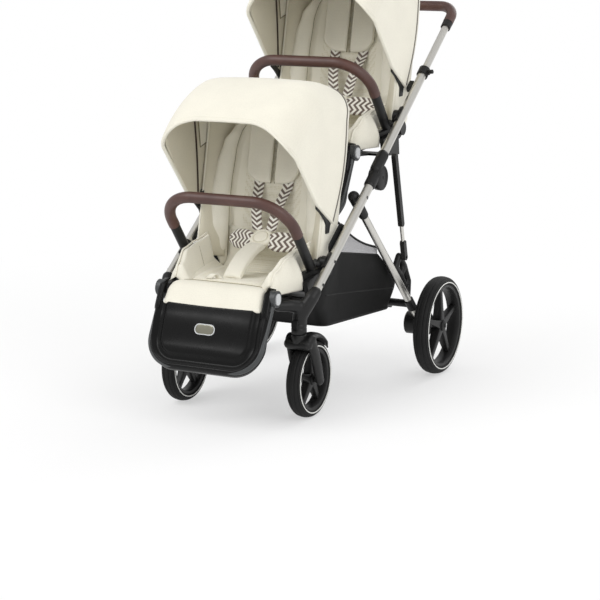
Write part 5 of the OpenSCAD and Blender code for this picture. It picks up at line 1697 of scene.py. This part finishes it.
def wheel_piece(name, radius, width, height, place, body, nodes, spokes=5):
    """A wheel: grooved tyre with a pale ring, and a five-spoke rim with a hub and cap."""
    half = width / 2
    rim_r = radius - height
    tread = []
    grooves = (-0.62, -0.24, 0.24, 0.62)
    steps = 60
    shoulder = math.radians(82)
    for k in range(steps + 1):
        t = -1 + 2 * k / steps
        a = t * shoulder
        across = half * math.sin(a) / math.sin(shoulder)
        out = radius - height + height * (math.cos(a) ** 0.55)
        cut = sum(math.exp(-((t - g) / 0.045) ** 2) for g in grooves)
        tread.append((across, out - 2.2 * cut))
    profile = [(-half * 0.8, rim_r - 1)] + tread + [(half * 0.8, rim_r - 1), (-half * 0.8, rim_r - 1)]
    tyre = piece(f"{name}_tread", turned(profile, 96, place), "tyre", body)
    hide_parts(nodes[0])
    ring_r = rim_r + 0.28 * height
    rings = []
    for side in (1, -1):
        edge = half * 0.985
        rings.append([place + Vector((side * edge * MM, ring_r * MM * math.cos(math.tau * k / 96),
                                      ring_r * MM * math.sin(math.tau * k / 96))) for k in range(96)])
    piped(f"{name}_rings", rings, 1.5, "ring", body, closed=True)

    inner = rim_r - 8
    parts = [turned([(-half * 0.82, rim_r), (-half * 0.86, rim_r - 2), (-half * 0.8, inner),
                     (-half * 0.2, inner - 3), (half * 0.2, inner - 3), (half * 0.8, inner),
                     (half * 0.86, rim_r - 2), (half * 0.82, rim_r), (-half * 0.82, rim_r)], 96, place),
             turned([(-half * 0.84, 0), (-half * 0.84, 12), (-half * 0.76, 16), (half * 0.76, 16),
                     (half * 0.84, 13), (half * 0.9, 10), (half * 0.9, 0)], 40, place)]
    for i in range(spokes):
        bm = bmesh.new()
        bmesh.ops.create_cube(bm, size=1)
        for v in bm.verts:
            out = mix(8, inner + 1, v.co.z + 0.5)
            wide = mix(26, 15, v.co.z + 0.5)
            deep = mix(half * 1.3, half * 0.7, v.co.z + 0.5)
            v.co = Vector((v.co.x * deep, v.co.y * wide, out)) * MM
        bmesh.ops.subdivide_edges(bm, edges=[e for e in bm.edges
                                             if abs(e.verts[0].co.z - e.verts[1].co.z) > 0.01],
                                  cuts=4)
        for v in bm.verts:
            # the spoke thins in its middle, and flares where it joins the rim
            t = (v.co.z / MM - 8) / (inner - 7)
            v.co.y *= 1 - 0.22 * math.sin(math.pi * t) + 0.5 * max(0.0, t - 0.8)
        bmesh.ops.bevel(bm, geom=bm.edges[:], affect="EDGES", offset=2.4 * MM, offset_type="OFFSET",
                        segments=3, profile=0.5, material=-1)
        bmesh.ops.rotate(bm, verts=bm.verts, cent=(0, 0, 0),
                         matrix=Matrix.Rotation(math.tau * i / spokes, 3, "X"))
        bmesh.ops.translate(bm, verts=bm.verts, vec=place)
        parts.append(bm)
    rim = piece(f"{name}_spokes", joined(parts), "black", body)
    thicken(rim, 0, bevel=0.8)
    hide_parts(nodes[1])


class PUSHCHAIR_OT_wheels(bpy.types.Operator):
    """Wheels: grooved tyres, pale rings and five-spoke rims"""

    bl_idname = "pushchair.wheels"
    bl_label = "Wheels"

    def execute(self, context):
        for side, sign in (("left", 1), ("right", -1)):
            for end, (x, y, z), width, height in (("front", FRONT_WHEEL, 40, 19),
                                                  ("rear", REAR_WHEEL, 47, 22.5)):
                wheel_piece(f"{end}_wheel_{side}", z, width, height, at(sign * x, y, z),
                            f"{end}_wheel_{side}", (f"{end}_tyre_{side}", f"{end}_rim_{side}"))
        return {"FINISHED"}


class PUSHCHAIR_OT_trim(bpy.types.Operator):
    """Domed rivets on the outer sides of the lower tubes"""

    bl_idname = "pushchair.trim"
    bl_label = "Trim"

    def execute(self, context):
        line = beside(HINGE, LOWER_ANGLE, 0, 20)
        cap = [(-2, 0), (-2, 4.6), (0.4, 4.6), (1.8, 3.4), (2.4, 0)]
        rivets = []
        for sign in (1, -1):
            for along in (-343, -428):
                bm = turned(cap, 20, at(TUBE_X + 12.4, *beside(line, LOWER_ANGLE, along, 0)))
                rivets.append(bm if sign > 0 else mirrored(bm))
        piece("frame_rivets", joined(rivets), "gloss", "frame")
        return {"FINISHED"}


class PUSHCHAIR_PT_sidebar(bpy.types.Panel):
    """Lists the pushchair's settings and pieces"""

    bl_idname = "PUSHCHAIR_PT_sidebar"
    bl_label = "Twin pushchair"
    bl_space_type = "VIEW_3D"
    bl_region_type = "UI"
    bl_category = "Pushchair"

    def draw(self, context):
        for name in PushchairLooks.__annotations__:
            self.layout.prop(context.scene.pushchair, name)
        for step in STEPS:
            self.layout.operator(step.bl_idname)


STEPS = (PUSHCHAIR_OT_stage, PUSHCHAIR_OT_frame_finishes, PUSHCHAIR_OT_cushions, PUSHCHAIR_OT_leg_rests,
         PUSHCHAIR_OT_covers, PUSHCHAIR_OT_canopies, PUSHCHAIR_OT_harnesses, PUSHCHAIR_OT_basket,
         PUSHCHAIR_OT_castings, PUSHCHAIR_OT_wheels, PUSHCHAIR_OT_trim)
CLASSES = (PushchairLooks, *STEPS, PUSHCHAIR_PT_sidebar)


def register():
    for cls in CLASSES:
        bpy.utils.register_class(cls)
    bpy.types.Scene.pushchair = bpy.props.PointerProperty(type=PushchairLooks)


def unregister():
    del bpy.types.Scene.pushchair
    for cls in reversed(CLASSES):
        bpy.utils.unregister_class(cls)


def main():
    register()
    for step in STEPS:
        group, name = step.bl_idname.split(".")
        getattr(getattr(bpy.ops, group), name)()


if __name__ == "__main__":
    main()
